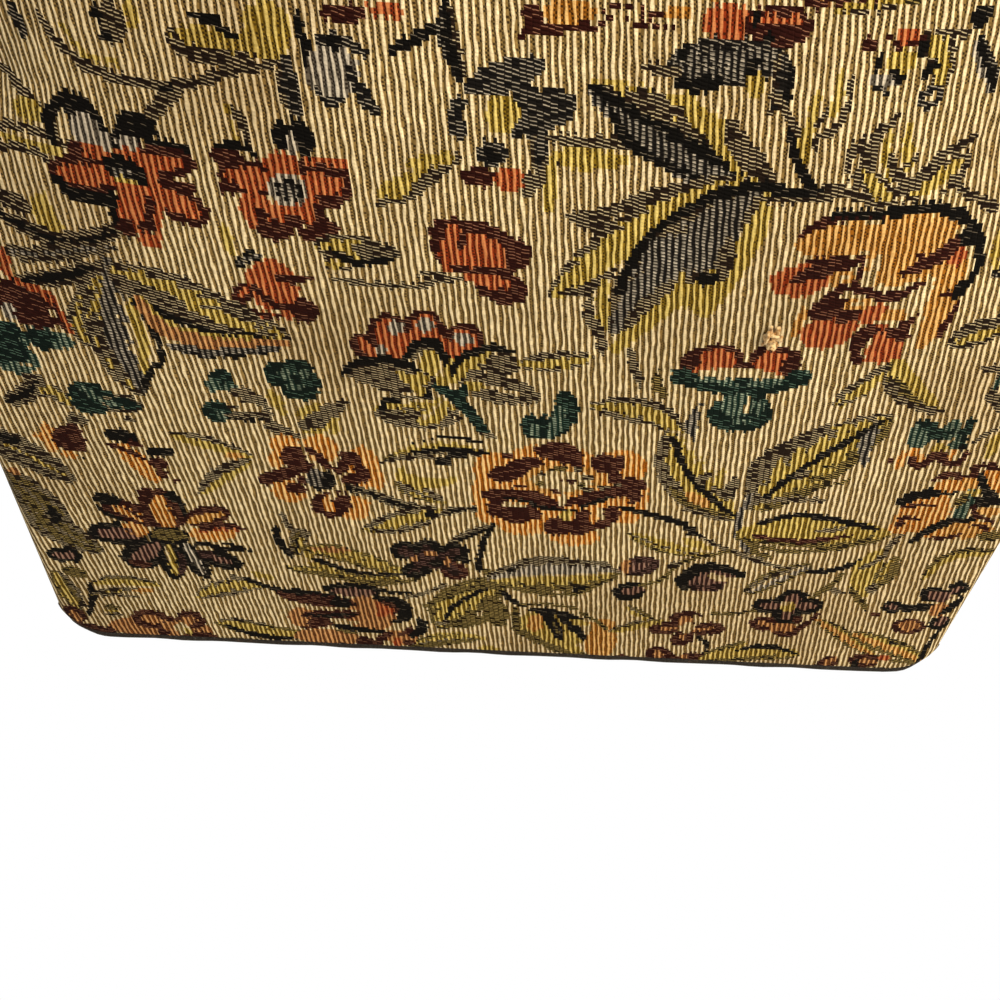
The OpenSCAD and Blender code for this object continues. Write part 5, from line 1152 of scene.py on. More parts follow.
class Shader:
    """A material in the making, with short calls for the sums that its nodes do."""

    def __init__(self, name: str) -> None:
        """Starts an empty material.

        Args:
            name: name of the real material.
        """
        self.material = bpy.data.materials.new(name)
        self.material.use_nodes = True
        self.tree = self.material.node_tree
        self.tree.nodes.clear()

    def node(self, kind: str, inputs: dict | None = None, **settings) -> bpy.types.Node:
        """Adds a node to this material.

        Args:
            kind: type of node.
            inputs: values or sockets of its inputs.
            settings: properties of the node.

        Returns:
            The node.
        """
        return add_node(self.tree, kind, inputs, **settings)

    def math(self, operation: str, *values: Socket | float, clamp: bool = False) -> Socket:
        """Adds one sum.

        Args:
            operation: name of the sum.
            values: numbers or sockets.
            clamp: True to keep the result from 0 to 1.

        Returns:
            The result's socket.
        """
        inputs = dict(enumerate(values))
        return self.node("Math", inputs, operation=operation, use_clamp=clamp).outputs[0]

    def chance(self, column: Socket, row: Socket) -> Socket:
        """Draws a lot for each crossing of the weave.

        Args:
            column: number of the cord.
            row: number of the pick.

        Returns:
            An even random value from 0 to 1.
        """
        cell = self.node("CombineXYZ", {0: column, 1: row}).outputs[0]
        return self.node("TexWhiteNoise", {"Vector": cell}, noise_dimensions="2D").outputs["Value"]

    def ramp(
        self, value: Socket, low: float, high: float, to_low: float = 0.0, to_high: float = 1.0
    ) -> Socket:
        """Maps a range smoothly to another.

        Args:
            value: socket to map.
            low: where the range starts.
            high: where the range ends.
            to_low: result at the start.
            to_high: result at the end.

        Returns:
            The result's socket.
        """
        inputs = {0: value, 1: low, 2: high, 3: to_low, 4: to_high}
        return self.node("MapRange", inputs, interpolation_type="SMOOTHSTEP").outputs[0]

    def mix(self, share: Socket | float, first: Tint, second: Tint, blend: str = "MIX") -> Socket:
        """Mixes two colours.

        Args:
            share: number or socket, 0 for the first colour.
            first: colour or socket.
            second: colour or socket.
            blend: how they mix.

        Returns:
            The mixed colour's socket.
        """
        inputs = {0: share, 6: first, 7: second}
        return self.node("Mix", inputs, data_type="RGBA", blend_type=blend).outputs[2]

    def noise(self, vector: Socket, scale: float, detail: float = 2.0, rough: float = 0.5) -> Socket:
        """Adds a cloud of random values.

        Args:
            vector: socket of the coordinates.
            scale: how many waves there are in one unit.
            detail: how many finer layers it has.
            rough: how strong the finer layers are.

        Returns:
            The value's socket, about 0.5.
        """
        inputs = {"Vector": vector, "Scale": scale, "Detail": detail, "Roughness": rough}
        return self.node("TexNoise", inputs).outputs[0]

    def coords(self) -> Socket:
        """Gives the object coordinates in metres.

        Returns:
            The coordinates' socket.
        """
        return self.node("TexCoord").outputs["Object"]

    def attribute(self, name: str, output: str = "Color") -> Socket:
        """Reads an attribute of the mesh.

        Args:
            name: name of the attribute.
            output: which of the node's outputs is wanted.

        Returns:
            The socket.
        """
        return self.node("Attribute", attribute_name=name).outputs[output]

    def finish(
        self, surface: dict, height: Socket | None = None, depth: float = 0.0003, normal: Socket | None = None
    ) -> Material:
        """Closes the material with one surface.

        Args:
            surface: values or sockets of the surface's inputs.
            height: socket of a height from 0 to 1, or None.
            depth: height's full depth in metres.
            normal: socket of a normal that the bump starts from, or None.

        Returns:
            The material.
        """
        bsdf = self.node("BsdfPrincipled", surface)
        if height is not None:
            bump = self.node("Bump", {"Height": height, "Strength": 1.0, "Distance": depth})
            if normal is not None:
                self.tree.links.new(normal, bump.inputs["Normal"])
            normal = bump.outputs[0]
        if normal is not None:
            self.tree.links.new(normal, bsdf.inputs["Normal"])
        out = self.node("OutputMaterial")
        self.tree.links.new(bsdf.outputs[0], out.inputs[0])
        return self.material


@dataclass(frozen=True)
class JacquardTapestry:
    """Ribbed cotton jacquard: raised cream cords and flat dashes of dyed yarn, dull and fibrous.

    Attributes:
        name: name of the real material.
        wander: how far a cord wanders, in cord widths.
        relief: depth of the cords in metres.
        dust: colour of handled, yellowed cloth.
        knots: colour of the dots where threads dive under.
        lean: how far a float climbs across one cord, in picks.
    """

    name: str = "cotton_jacquard_tapestry"
    wander: float = 0.42
    relief: float = 0.0006
    dust: str = "8A6A3A"
    knots: str = "1C0F06"
    lean: float = 0.35

    def material(self) -> Material:
        """Builds the material.

        Returns:
            The material, which reads thread, face, ground, cover, and a random tone with painted light and
            shade, from the mesh.
        """
        s = Shader(self.name)
        place = s.coords()
        thread = s.node("SeparateXYZ", {0: s.attribute("thread", "Vector")})
        cords, picks = thread.outputs[0], thread.outputs[1]
        stretched = s.node("CombineXYZ", {0: cords, 1: s.math("MULTIPLY", picks, 0.15)}).outputs[0]
        wobble = s.math("MULTIPLY", s.math("SUBTRACT", s.noise(stretched, 0.9, 2), 0.5), 2 * self.wander)
        cord_at = s.math("ADD", cords, wobble)
        jog = s.math("MULTIPLY", s.math("SUBTRACT", s.noise(place, 400, 1), 0.5), 0.6)
        pick_at = s.math("ADD", picks, jog)
        sided = s.math("SUBTRACT", s.math("FRACT", cord_at), 0.5)
        across = s.math("ABSOLUTE", sided)
        column = s.math("FLOOR", cord_at)
        leant = s.math("MULTIPLY_ADD", sided, self.lean, pick_at)
        own_pick = s.math("ADD", leant, s.math("MULTIPLY", s.math("FLOORED_MODULO", column, 2.0), 0.5))
        along = s.math("ABSOLUTE", s.math("SUBTRACT", s.math("FRACT", own_pick), 0.5))
        chance = s.chance(column, s.math("FLOOR", s.math("ADD", own_pick, 0.5)))
        flank = s.math("ADD", column, s.math("GREATER_THAN", sided, 0.0))
        chain = s.math("MULTIPLY_ADD", flank, 2.0, s.math("GREATER_THAN", sided, 0.0))
        gap_pick = s.math("MULTIPLY_ADD", chain, 0.5, pick_at)
        gap_along = s.math("ABSOLUTE", s.math("SUBTRACT", s.math("FRACT", gap_pick), 0.5))
        knot = s.chance(chain, s.math("FLOOR", gap_pick))
        fibre = s.noise(place, 2600, 2, 0.6)
        cover = s.attribute("cover", "Fac")
        share = s.math("ABSOLUTE", cover)
        corded = s.math("LESS_THAN", share, 0.01)

        # Thin cords stand up from tan gaps, where the crossing threads dive under in chains of dark dots
        slub = s.ramp(s.noise(stretched, 2.2, 3, 0.6), 0.25, 0.7, 0.72, 1.06)
        # Each cord is painted lighter between the crossing picks: painted highlights on its beads
        beaded = s.ramp(along, 0.48, 0.25, 0.8, 1.0)
        # Its colour runs from the face colour along its middle to the ground colour at its sides: the yarn in
        # the gaps, and painted shade on the round cord
        cord = s.math("MULTIPLY", s.math("MULTIPLY", s.ramp(across, 0.28, 0.1), slub), beaded)
        beside = s.math("ABSOLUTE", s.math("SUBTRACT", across, 0.37))
        dot = s.math("MULTIPLY", s.ramp(beside, 0.14, 0.06), s.ramp(gap_along, 0.36, 0.18))
        dot = s.math("MULTIPLY", dot, s.ramp(knot, 0.05, 0.4))
        # Floats lie across the cords and hide them, apart from a light dash here and there, or columns of
        # light beads
        hidden = s.math("MULTIPLY_ADD", share, 3.4, -2.1)
        shown = s.math("MULTIPLY", s.math("GREATER_THAN", chance, hidden), s.ramp(chance, 0.0, 1.0, 0.6, 1.0))
        float_end = s.math("MULTIPLY_ADD", share, 0.5, -0.04)
        past = s.math("DIVIDE", s.math("SUBTRACT", along, float_end), 0.12, clamp=True)
        dash = s.math("MULTIPLY", s.math("MULTIPLY", past, s.ramp(across, 0.5, 0.36)), shown)
        bead = s.math("MULTIPLY", s.ramp(across, 0.34, 0.14), s.ramp(along, 0.1, 0.26))
        bead = s.math("MULTIPLY", bead, s.ramp(chance, 0.0, 1.0, 0.45, 1.0))
        light = s.node("Mix", {0: s.math("LESS_THAN", cover, 0.0), 2: dash, 3: bead}).outputs[0]
        weave = s.node("Mix", {0: corded, 2: light, 3: cord}).outputs[0]
        worn = s.math("MULTIPLY", weave, s.ramp(fibre, 0.25, 0.6, 0.78, 1.0))
        # Each face's random tone, with the painted shade to the left and painted light to the right at the
        # foot of the cloth, multiplies the colour
        tone_and_painted_light = s.attribute("tone_and_painted_light", "Fac")
        tint = s.node("CombineColor", {0: tone_and_painted_light, 1: tone_and_painted_light, 2: tone_and_painted_light}).outputs[0]
        colour = s.mix(worn, s.attribute("ground"), s.attribute("face"))
        colour = s.mix(s.math("MULTIPLY", s.math("MULTIPLY", dot, corded), 0.88), colour, srgb(self.knots))
        colour = s.mix(1.0, colour, tint, "MULTIPLY")
        grime = s.math("MULTIPLY", s.ramp(s.noise(place, 14, 3, 0.6), 0.42, 0.72), 0.35)
        colour = s.mix(grime, colour, s.mix(1.0, colour, srgb(self.dust), "MULTIPLY"))
        # The reverse shows loose floats of all the yarns
        back = s.node("NewGeometry").outputs["Backfacing"]
        colour = s.mix(back, colour, s.mix(s.ramp(across, 0.2, 0.5), srgb("7A5F3C"), srgb("2E2115")))

        round_cord = s.math("SUBTRACT", 1.0, s.math("POWER", s.math("MULTIPLY", across, 2.0), 2.0))
        ribbed = s.math("MULTIPLY_ADD", dot, -0.3, s.math("MULTIPLY", round_cord, 0.85))
        lump = s.math("SUBTRACT", 1.0, s.math("POWER", s.math("MULTIPLY", along, 2.0), 2.0))
        end = s.ramp(across, 0.52, 0.3, 0.5, 1.0)
        flat = s.math("ADD", 0.3, s.math("MULTIPLY", s.math("MULTIPLY", lump, end), 0.45))
        height = s.node("Mix", {0: corded, 2: flat, 3: ribbed}).outputs[0]
        height = s.math("ADD", height, s.math("MULTIPLY", fibre, 0.16))
        surface = {"Base Color": colour, "Roughness": 0.85, "Specular IOR Level": 0.1}
        return s.finish(surface, height, self.relief)


@dataclass(frozen=True)
class Leatherette:
    """Coated black cloth with a fine pebble grain, a soft shine and brown where the edges are rubbed.

    Attributes:
        name: name of the real material.
        colour: colour of the coating.
        rubbed: colour of worn places.
    """

    name: str = "black_leatherette"
    colour: str = "17120F"
    rubbed: str = "4A3322"

    def material(self) -> Material:
        """Builds the material.

        Returns:
            The material.
        """
        s = Shader(self.name)
        place = s.coords()
        cells = s.node("TexVoronoi", {"Vector": place, "Scale": 900}, feature="DISTANCE_TO_EDGE").outputs[0]
        grain = s.ramp(cells, 0.0, 0.25)
        soft = s.noise(place, 60, 4, 0.6)
        wear = s.math("MULTIPLY", s.ramp(s.noise(place, 220, 4, 0.65), 0.52, 0.72), s.ramp(soft, 0.4, 0.7))
        colour = s.mix(wear, srgb(self.colour), srgb(self.rubbed))
        colour = s.mix(s.math("MULTIPLY", s.math("SUBTRACT", 1.0, grain), 0.6), colour, srgb("050404"))
        height = s.math("ADD", s.math("MULTIPLY", grain, 0.6), s.math("MULTIPLY", soft, 0.4))
        rough = s.ramp(soft, 0.3, 0.7, 0.42, 0.62)
        surface = {"Base Color": colour, "Roughness": rough, "Specular IOR Level": 0.4}
        return s.finish(surface, height, 0.00025)


@dataclass(frozen=True)
class CottonTwill:
    """Plain tan cotton twill with fine diagonal lines, matt and a little washed out.

    Attributes:
        name: name of the real material.
        colour: colour of the threads.
        shade: colour between the threads.
    """

    name: str = "tan_cotton_twill"
    colour: str = "A98452"
    shade: str = "5A4022"

    def material(self) -> Material:
        """Builds the material.

        Returns:
            The material.
        """
        s = Shader(self.name)
        place = s.coords()
        inputs = {"Vector": place, "Scale": 300, "Distortion": 0.6, "Detail": 1.0, "Detail Scale": 4.0}
        twill = s.node("TexWave", inputs, bands_direction="DIAGONAL").outputs["Fac"]
        lightening = s.noise(place, 18, 3, 0.6)
        colour = s.mix(s.math("MULTIPLY", twill, 0.75), srgb(self.shade), srgb(self.colour))
        colour = s.mix(s.ramp(lightening, 0.3, 0.75, 0.0, 0.3), colour, srgb("C9AC7C"))
        surface = {"Base Color": colour, "Roughness": 0.9, "Specular IOR Level": 0.2, "Sheen Weight": 0.15}
        return s.finish(surface, twill, 0.0002)


@dataclass(frozen=True)
class AgedBrass:
    """Pressed brass with a warm shine, brown tarnish in its hollows and bright rubbed edges.

    Attributes:
        name: name of the real material.
        bright: colour of the rubbed metal.
        tarnish: colour of the dull metal.
    """

    name: str = "aged_brass"
    bright: str = "D9B36A"
    tarnish: str = "6B4A22"

    def material(self) -> Material:
        """Builds the material.

        Returns:
            The material.
        """
        s = Shader(self.name)
        place = s.coords()
        rounded = s.node("Bevel", {"Radius": 0.0005}, samples=6).outputs[0]
        flat = s.node("NewGeometry").outputs["Normal"]
        turned = s.node("VectorMath", {0: rounded, 1: flat}, operation="DOT_PRODUCT").outputs["Value"]
        edge = s.ramp(turned, 0.995, 0.9)
        cloud = s.noise(place, 45, 5, 0.65)
        speck = s.noise(place, 900, 3, 0.6)
        dull = s.math("MULTIPLY", s.ramp(cloud, 0.38, 0.68), s.math("SUBTRACT", 1.0, edge))
        dull = s.math("ADD", dull, s.math("MULTIPLY", s.ramp(speck, 0.62, 0.75), 0.35), clamp=True)
        colour = s.mix(s.math("MULTIPLY", dull, 0.7), srgb(self.bright), srgb(self.tarnish))
        brushed = s.node("Mapping", {"Vector": place, "Scale": (0.08, 1.0, 1.0)}).outputs[0]
        scratch = s.noise(brushed, 1500, 3, 0.6)
        rough = s.math("ADD", s.ramp(dull, 0.0, 1.0, 0.26, 0.5), s.math("MULTIPLY", scratch, 0.08))
        surface = {"Base Color": colour, "Metallic": 1.0, "Roughness": rough}
        return s.finish(surface, s.math("ADD", s.math("MULTIPLY", scratch, 0.5), speck), 0.00003, rounded)


@dataclass(frozen=True)
class MillBoard:
    """Brown pressed fibre board with pale and dark flecks.

    Attributes:
        name: name of the real material.
        colour: colour of the board.
        fleck: colour of its fibres.
    """

    name: str = "brown_mill_board"
    colour: str = "6E5335"
    fleck: str = "9A7C54"

    def material(self) -> Material:
        """Builds the material.

        Returns:
            The material.
        """
        s = Shader(self.name)
        place = s.coords()
        stretched = s.node("Mapping", {"Vector": place, "Scale": (1.0, 3.0, 3.0)}).outputs[0]
        fibre = s.noise(stretched, 500, 4, 0.7)
        colour = s.mix(s.ramp(fibre, 0.4, 0.7), srgb(self.colour), srgb(self.fleck))
        return s.finish({"Base Color": colour, "Roughness": 0.88}, fibre, 0.0002)


@dataclass
class Finishes:
    """All the materials of the bag, each made once."""

    tapestry: Material = field(default_factory=lambda: JacquardTapestry().material())
    leatherette: Material = field(default_factory=lambda: Leatherette().material())
    cotton: Material = field(default_factory=lambda: CottonTwill().material())
    brass: Material = field(default_factory=lambda: AgedBrass().material())
    board: Material = field(default_factory=lambda: MillBoard().material())


def new_object(name: str, mesh: bpy.types.Mesh | bpy.types.Curve, material: Material) -> Piece:
    """Puts a mesh or curve in the scene.

    Args:
        name: name of the piece.
        mesh: its data.
        material: its material.

    Returns:
        The new object, at the origin.
    """
    obj = bpy.data.objects.new(name, mesh)
    mesh.materials.append(material)
    bpy.context.scene.collection.objects.link(obj)
    return obj


def grid_mesh(across: int, up: int) -> bmesh.types.BMesh:
    """Makes a flat grid from 0 to 1 across X and up Z.

    Args:
        across: number of cells across.
        up: number of cells up.

    Returns:
        The grid.
    """
    bm = bmesh.new()
    bmesh.ops.create_grid(bm, x_segments=across, y_segments=up, size=0.5)
    for v in bm.verts:
        v.co = (v.co.x + 0.5, 0.0, v.co.y + 0.5)
    return bm


def mesh_from(bm: bmesh.types.BMesh, name: str) -> bpy.types.Mesh:
    """Turns a bmesh into a smooth mesh and frees it.

    Args:
        bm: the bmesh.
        name: name of the mesh.

    Returns:
        The mesh.
    """
    mesh = bpy.data.meshes.new(name)
    bm.to_mesh(mesh)
    bm.free()
    mesh.shade_smooth()
    return mesh


def read_points(mesh: bpy.types.Mesh) -> np.ndarray:
    """Reads the vertices of a mesh.

    Args:
        mesh: the mesh.

    Returns:
        The vertices in millimetres.
    """
    flat = np.empty(3 * len(mesh.vertices), np.float32)
    mesh.vertices.foreach_get("co", flat)
    return flat.reshape(-1, 3).astype(float) / MM


def write_points(mesh: bpy.types.Mesh, points: np.ndarray) -> None:
    """Writes the vertices of a mesh.

    Args:
        mesh: the mesh.
        points: its vertices in millimetres.
    """
    mesh.vertices.foreach_set("co", (points * MM).astype(np.float32).ravel())
    mesh.update()


def surface_area(mesh: bpy.types.Mesh) -> float:
    """Adds up the faces of a mesh.

    Args:
        mesh: the mesh.

    Returns:
        The area in square metres.
    """
    areas = np.empty(len(mesh.polygons), np.float32)
    mesh.polygons.foreach_get("area", areas)
    return float(areas.sum())


@dataclass
class WovenCloth:
    """A piece cut from the tapestry, one face to each crossing of cord and pick.

    Attributes:
        name: name of the piece.
        low: lowest corner of the cut on the cloth, in millimetres.
        high: highest corner of the cut on the cloth, in millimetres.
        seed: seed of its unevenness.
        design: pattern of the cloth.
        shift: place on the cloth where the piece's own middle is cut.
        lightening: how much lighter the cloth is painted for each millimetre to the right, at its foot:
            painted shade on the lower left and painted light on the lower right.
        painted_light_top: height where that painted light and shade ends.
        spread: unevenness of the dye from face to face.
    """

    name: str
    low: tuple[float, float]
    high: tuple[float, float]
    seed: int
    design: TapestryDesign = field(default_factory=TapestryDesign)
    shift: tuple[float, float] = (0.0, 0.0)
    lightening: float = 0.0009
    painted_light_top: float = 260
    spread: float = 0.08

    def cut(self, planes: list[Cut]) -> bpy.types.Mesh:
        """Cuts the flat piece.

        Args:
            planes: a point and an outward direction for each straight cut, in millimetres.

        Returns:
            The flat mesh, across X and up Z.
        """
        d = self.design
        lean = math.tan(math.radians(d.slant))
        wide, high = d.cell
        first = math.floor((self.low[0] + lean * self.low[1]) / wide)
        last = math.ceil((self.high[0] + lean * self.high[1]) / wide)
        foot, top = math.floor(self.low[1] / high), math.ceil(self.high[1] / high)
        bm = grid_mesh(last - first, top - foot)
        for v in bm.verts:
            z = (foot + v.co.z * (top - foot)) * high
            x = (first + v.co.x * (last - first)) * wide - lean * z
            v.co = (x * MM, 0.0, z * MM)
        for point, out in planes:
            every = bm.verts[:] + bm.edges[:] + bm.faces[:]
            at = Vector((point[0], 0, point[1])) * MM
            away = (out[0], 0, out[1])
            bmesh.ops.bisect_plane(bm, geom=every, dist=1e-7, plane_co=at, plane_no=away, clear_outer=True)
        return mesh_from(bm, self.name)

    def dress(self, mesh: bpy.types.Mesh) -> None:
        """Gives the flat piece its threads and colours.

        Args:
            mesh: the flat mesh.
        """
        points = read_points(mesh)
        x, z = points[:, 0] + self.shift[0], points[:, 2] + self.shift[1]
        thread = self.design.thread(x, z)
        layer = mesh.attributes.new("thread", "FLOAT_VECTOR", "POINT")
        layer.data.foreach_set("vector", thread.astype(np.float32).ravel())
        centres = np.empty(3 * len(mesh.polygons), np.float32)
        mesh.polygons.foreach_get("center", centres)
        centres = centres.reshape(-1, 3).astype(float) / MM
        shown = self.design.yarns(centres[:, 0] + self.shift[0], centres[:, 2] + self.shift[1], self.seed)
        dyes = [yarn.value for yarn in Yarn]
        for key, codes in (("face", [dye.face for dye in dyes]), ("ground", [dye.ground for dye in dyes])):
            colours = np.array([srgb(code) for code in codes], np.float32)[shown]
            mesh.attributes.new(key, "FLOAT_COLOR", "FACE").data.foreach_set("color", colours.ravel())
        cover = np.array([dye.cover for dye in dyes], np.float32)[shown]
        mesh.attributes.new("cover", "FLOAT", "FACE").data.foreach_set("value", cover)
        rng = np.random.default_rng(self.seed + 1)
        # Painted shade and painted light: the foot of the cloth is painted darker to the left and lighter to
        # the right, times a random tone for each face
        painted_light_and_shade = 1 + self.lightening * centres[:, 0] * np.clip(1 - centres[:, 2] / self.painted_light_top, 0, 1)
        lot = np.clip(rng.normal(1.0, self.spread, len(shown)), 0.72, 1.24)
        tone_and_painted_light = (painted_light_and_shade * lot).astype(np.float32)
        mesh.attributes.new("tone_and_painted_light", "FLOAT", "FACE").data.foreach_set("value", tone_and_painted_light)


@dataclass
class WovenPanel:
    """One broad side of the bag, rolled over its seams and clamped in the frame above.

    Attributes:
        node: name of the solid that it stands for.
        jaw: body of the frame half that holds its top; not used.
        side: -1 for the front, 1 for the rear.
        form: outline of the bag.
        side_roll: radius of the roll at the side seams, in millimetres.
        foot_roll: radius of the roll at the lower seam.
    """

    node: str
    jaw: str
    side: int
    form: BagForm = field(default_factory=BagForm)
    side_roll: float = 4.2
    foot_roll: float = 3.0

    def outline(self) -> list[Cut]:
        """Lists the straight cuts round the flat panel.

        Returns:
            A point and an outward direction for each cut.
        """
        f = self.form
        cuts = [((0, f.cloth_top), (0, 1))]
        for dir_x in (-1, 1):
            for angle in np.radians(np.arange(0, 91, 10)):
                out = (dir_x * math.sin(angle), -math.cos(angle))
                run = f.corner_r - f.seam_inset + self.roll(abs(out[0])) * math.pi / 2
                at = (dir_x * (f.half_w - f.corner_r) + run * out[0], f.corner_r + run * out[1])
                cuts.append((at, out))
        return cuts

    def roll(self, sideways: np.ndarray | float) -> np.ndarray | float:
        """Gives the radius of the roll over a seam.

        Args:
            sideways: 0 at the lower seam and 1 at a side seam.

        Returns:
            The radius in millimetres.
        """
        return self.foot_roll + (self.side_roll - self.foot_roll) * sideways

    def shape(self, flat: np.ndarray) -> np.ndarray:
        """Lays the flat cloth on the bag.

        Args:
            flat: points on the flat cloth in millimetres.

        Returns:
            The points in their place.
        """
        f = self.form
        x, z = flat[:, 0], flat[:, 2]
        half = f.half_w - f.seam_inset
        # Nearest place on the line where the roll starts, and how far past it the cloth goes
        core_x, core_z = f.half_w - f.corner_r, f.corner_r
        away = np.stack([np.maximum(np.abs(x) - core_x, 0), np.minimum(z - core_z, 0)], -1)
        reach = np.maximum(np.linalg.norm(away, axis=1), 1e-9)
        out = away / reach[:, None]
        past = np.maximum(reach - (f.corner_r - f.seam_inset), 0)
        to_seam = np.maximum(np.where(past > 0, 0, np.minimum(half - np.abs(x), z - f.seam_inset)), 0)
        radius = self.roll(out[:, 0])
        angle = np.minimum(past / radius, math.pi / 2)
        slack = np.clip((f.neck_z + 8 - z) / 20, 0, 1)
        step = radius * np.sin(angle) * slack - past
        wide = np.sign(x) * (np.abs(x) + step * out[:, 0])
        high = z + step * out[:, 1]
        squeeze = half - f.panel_half_w(high)
        share = np.clip(np.abs(wide) / half, 0, 1)
        wide = wide - np.sign(x) * squeeze * share**8
        depth = f.panel_y(share, np.maximum(high, 0)) - radius * (1 - np.cos(angle)) * slack
        # Shallow waves where neither a seam nor the frame holds the cloth
        loose = np.clip(to_seam / 30, 0, 1) * np.clip((240 - z) / 40, 0, 1)
        waves = np.sin(x / 31 + z / 57 + 0.6) * np.sin(z / 43 - x / 90 + 1.1) + 0.5 * np.sin(x / 17 - z / 23)
        depth = depth + 0.5 * loose * waves
        return np.stack([wide, self.side * depth, high], -1)

    def build(self, finishes: Finishes) -> Piece:
        """Makes the panel.

        Args:
            finishes: materials of the bag.

        Returns:
            The panel.
        """
        f = self.form
        half = f.half_w - f.seam_inset + self.side_roll * math.pi / 2
        foot = f.seam_inset - self.foot_roll * math.pi / 2
        cloth = WovenCloth(self.node + "_cloth", (-half, foot), (half, f.cloth_top), 7 + self.side)
        mesh = cloth.cut(self.outline())
        if self.side > 0:
            mesh.flip_normals()
        cloth.dress(mesh)
        area = surface_area(mesh)
        write_points(mesh, self.shape(read_points(mesh)))
        panel = new_object(cloth.name, mesh, finishes.tapestry)
        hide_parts(self.node)
        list(f.fold(self.side))
        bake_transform(panel)
        return panel


@dataclass
class PleatedGusset:
    """One narrow side of the bag, whose upper part folds inwards.

    Attributes:
        node: name of the solid that it stands for.
        side: -1 for the left, 1 for the right.
        form: outline of the bag.
    """

    node: str
    side: int
    form: BagForm = field(default_factory=BagForm)

    def shape(self, flat: np.ndarray) -> np.ndarray:
        """Lays the flat strip on the bag.

        Args:
            flat: points on the flat strip in millimetres.

        Returns:
            The points in their place.
        """
        f = self.form
        s, run = flat[:, 0] / (f.half_d - f.strip_clear), flat[:, 2]
        arc = f.corner_r * math.pi / 2
        angle = np.clip(run / f.corner_r, 0, math.pi / 2)
        z = np.where(run < arc, f.corner_r * (1 - np.cos(angle)), f.corner_r + run - arc)
        reach = f.edge_y(z) - f.strip_clear
        fold = f.pleat(z)
        soft = np.sqrt(s * s + 0.0025) - 0.025
        x = f.half_w - 0.7 - fold * (1 - soft) - 0.8 * np.clip(np.abs(s) * 8 - 7, 0, 1)
        x = np.where(run < arc, f.half_w - f.corner_r + (f.corner_r - 0.2) * np.sin(angle), x)
        z = np.where(run < arc, np.maximum(z, 0.2), z)
        loose = np.clip((z - 30) / 40, 0, 1) * np.clip(1 - np.abs(s), 0, 1)
        wave = 0.6 * np.sin(z / 19 + 1.3) * np.sin(3 * s) * loose
        return np.stack([self.side * (x - np.abs(wave)), s * reach, z], -1)

    def build(self, finishes: Finishes) -> Piece:
        """Makes the gusset.

        Args:
            finishes: materials of the bag.

        Returns:
            The gusset.
        """
        f = self.form
        half = f.half_d - f.strip_clear
        length = f.gusset_top - f.corner_r + f.corner_r * math.pi / 2
        name = self.node + "_cloth"
        cloth = WovenCloth(name, (-half, 0), (half, length), 21 + self.side, shift=(self.side * 40.0, 0.0))
        edges = [((-half, 0), (-1, 0)), ((half, 0), (1, 0)), ((0, 0), (0, -1)), ((0, length), (0, 1))]
        mesh = cloth.cut(edges)
        if self.side < 0:
            mesh.flip_normals()
        cloth.dress(mesh)
        write_points(mesh, self.shape(read_points(mesh)))
        gusset = new_object(name, mesh, finishes.tapestry)
        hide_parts(self.node)
        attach(gusset, "bag")
        surface_area(mesh)
        return gusset


@dataclass
class SeamPiping:
    """The black corded piping sewn round one panel.

    Attributes:
        node: name of the solid that it stands for.
        side: -1 for the front, 1 for the rear.
        form: outline of the bag.
        radius: radius of the cord in millimetres.
        side_back: how far behind the panel's face it lies at the side seams.
        foot_back: how far behind the panel's face it lies at the lower seam.
    """

    node: str
    side: int
    form: BagForm = field(default_factory=BagForm)
    radius: float = 1.5
    side_back: float = 4.6
    foot_back: float = 1.4

    def path(self) -> np.ndarray:
        """Finds the middle line of the piping.

        Returns:
            Points in millimetres, from one top end to the other.
        """
        f = self.form
        inset = self.radius + 0.2
        heights = np.arange(f.neck_z, f.corner_r, -4.0)
        angles = np.radians(np.arange(0, 91, 9))
        centre, bend = f.half_w - f.corner_r, f.corner_r - inset
        edge, behind = np.full_like(heights, inset - f.half_w), np.full_like(heights, self.side_back)
        left = np.stack([edge, heights, behind], -1)
        back = self.side_back + (self.foot_back - self.side_back) * np.sin(angles)
        arc = np.stack([-centre - bend * np.cos(angles), f.corner_r - bend * np.sin(angles), back], -1)
        bottom = np.arange(-centre + 5, centre - 4, 5.0)
        low = np.stack([bottom, np.full_like(bottom, inset), np.full_like(bottom, self.foot_back)], -1)
        half = np.vstack([left, arc])
        line = np.vstack([half, low, half[::-1] * (-1, 1, 1)])
        run = np.arange(len(line))
        high = np.maximum(line[:, 1] + 0.12 * np.sin(run * 1.7), self.radius + 0.05)
        depth = f.edge_y(high) - line[:, 2] + 0.15 * np.sin(run * 1.1)
        return np.stack([line[:, 0], self.side * depth, high], -1)

    def build(self, finishes: Finishes) -> Piece:
        """Makes the piping.

        Args:
            finishes: materials of the bag.

        Returns:
            The piping.
        """
        tube = sweep(self.node + "_cord", self.path(), self.radius, finishes.leatherette)
        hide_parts(self.node)
        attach(tube, "bag")
        return tube


def sweep(
    name: str, path: np.ndarray, radius: float, material: Material, radii: np.ndarray | None = None
) -> Piece:
    """Sweeps a round cord along a line.

    Args:
        name: name of the piece.
        path: points of the line in millimetres.
        radius: radius in millimetres.
        material: its material.
        radii: share of the radius at each point, or None.

    Returns:
        The cord, as a curve with a round section.
    """
    curve = bpy.data.curves.new(name, "CURVE")
    curve.dimensions = "3D"
    curve.bevel_depth = radius * MM
    curve.bevel_resolution = 4
    curve.use_fill_caps = True
    spline = curve.splines.new("POLY")
    spline.points.add(len(path) - 1)
    for i, (point, place) in enumerate(zip(spline.points, path)):
        point.co = (*(place * MM), 1.0)
        point.radius = 1.0 if radii is None else float(radii[i])
    spline.use_smooth = True
    return new_object(name, curve, material)


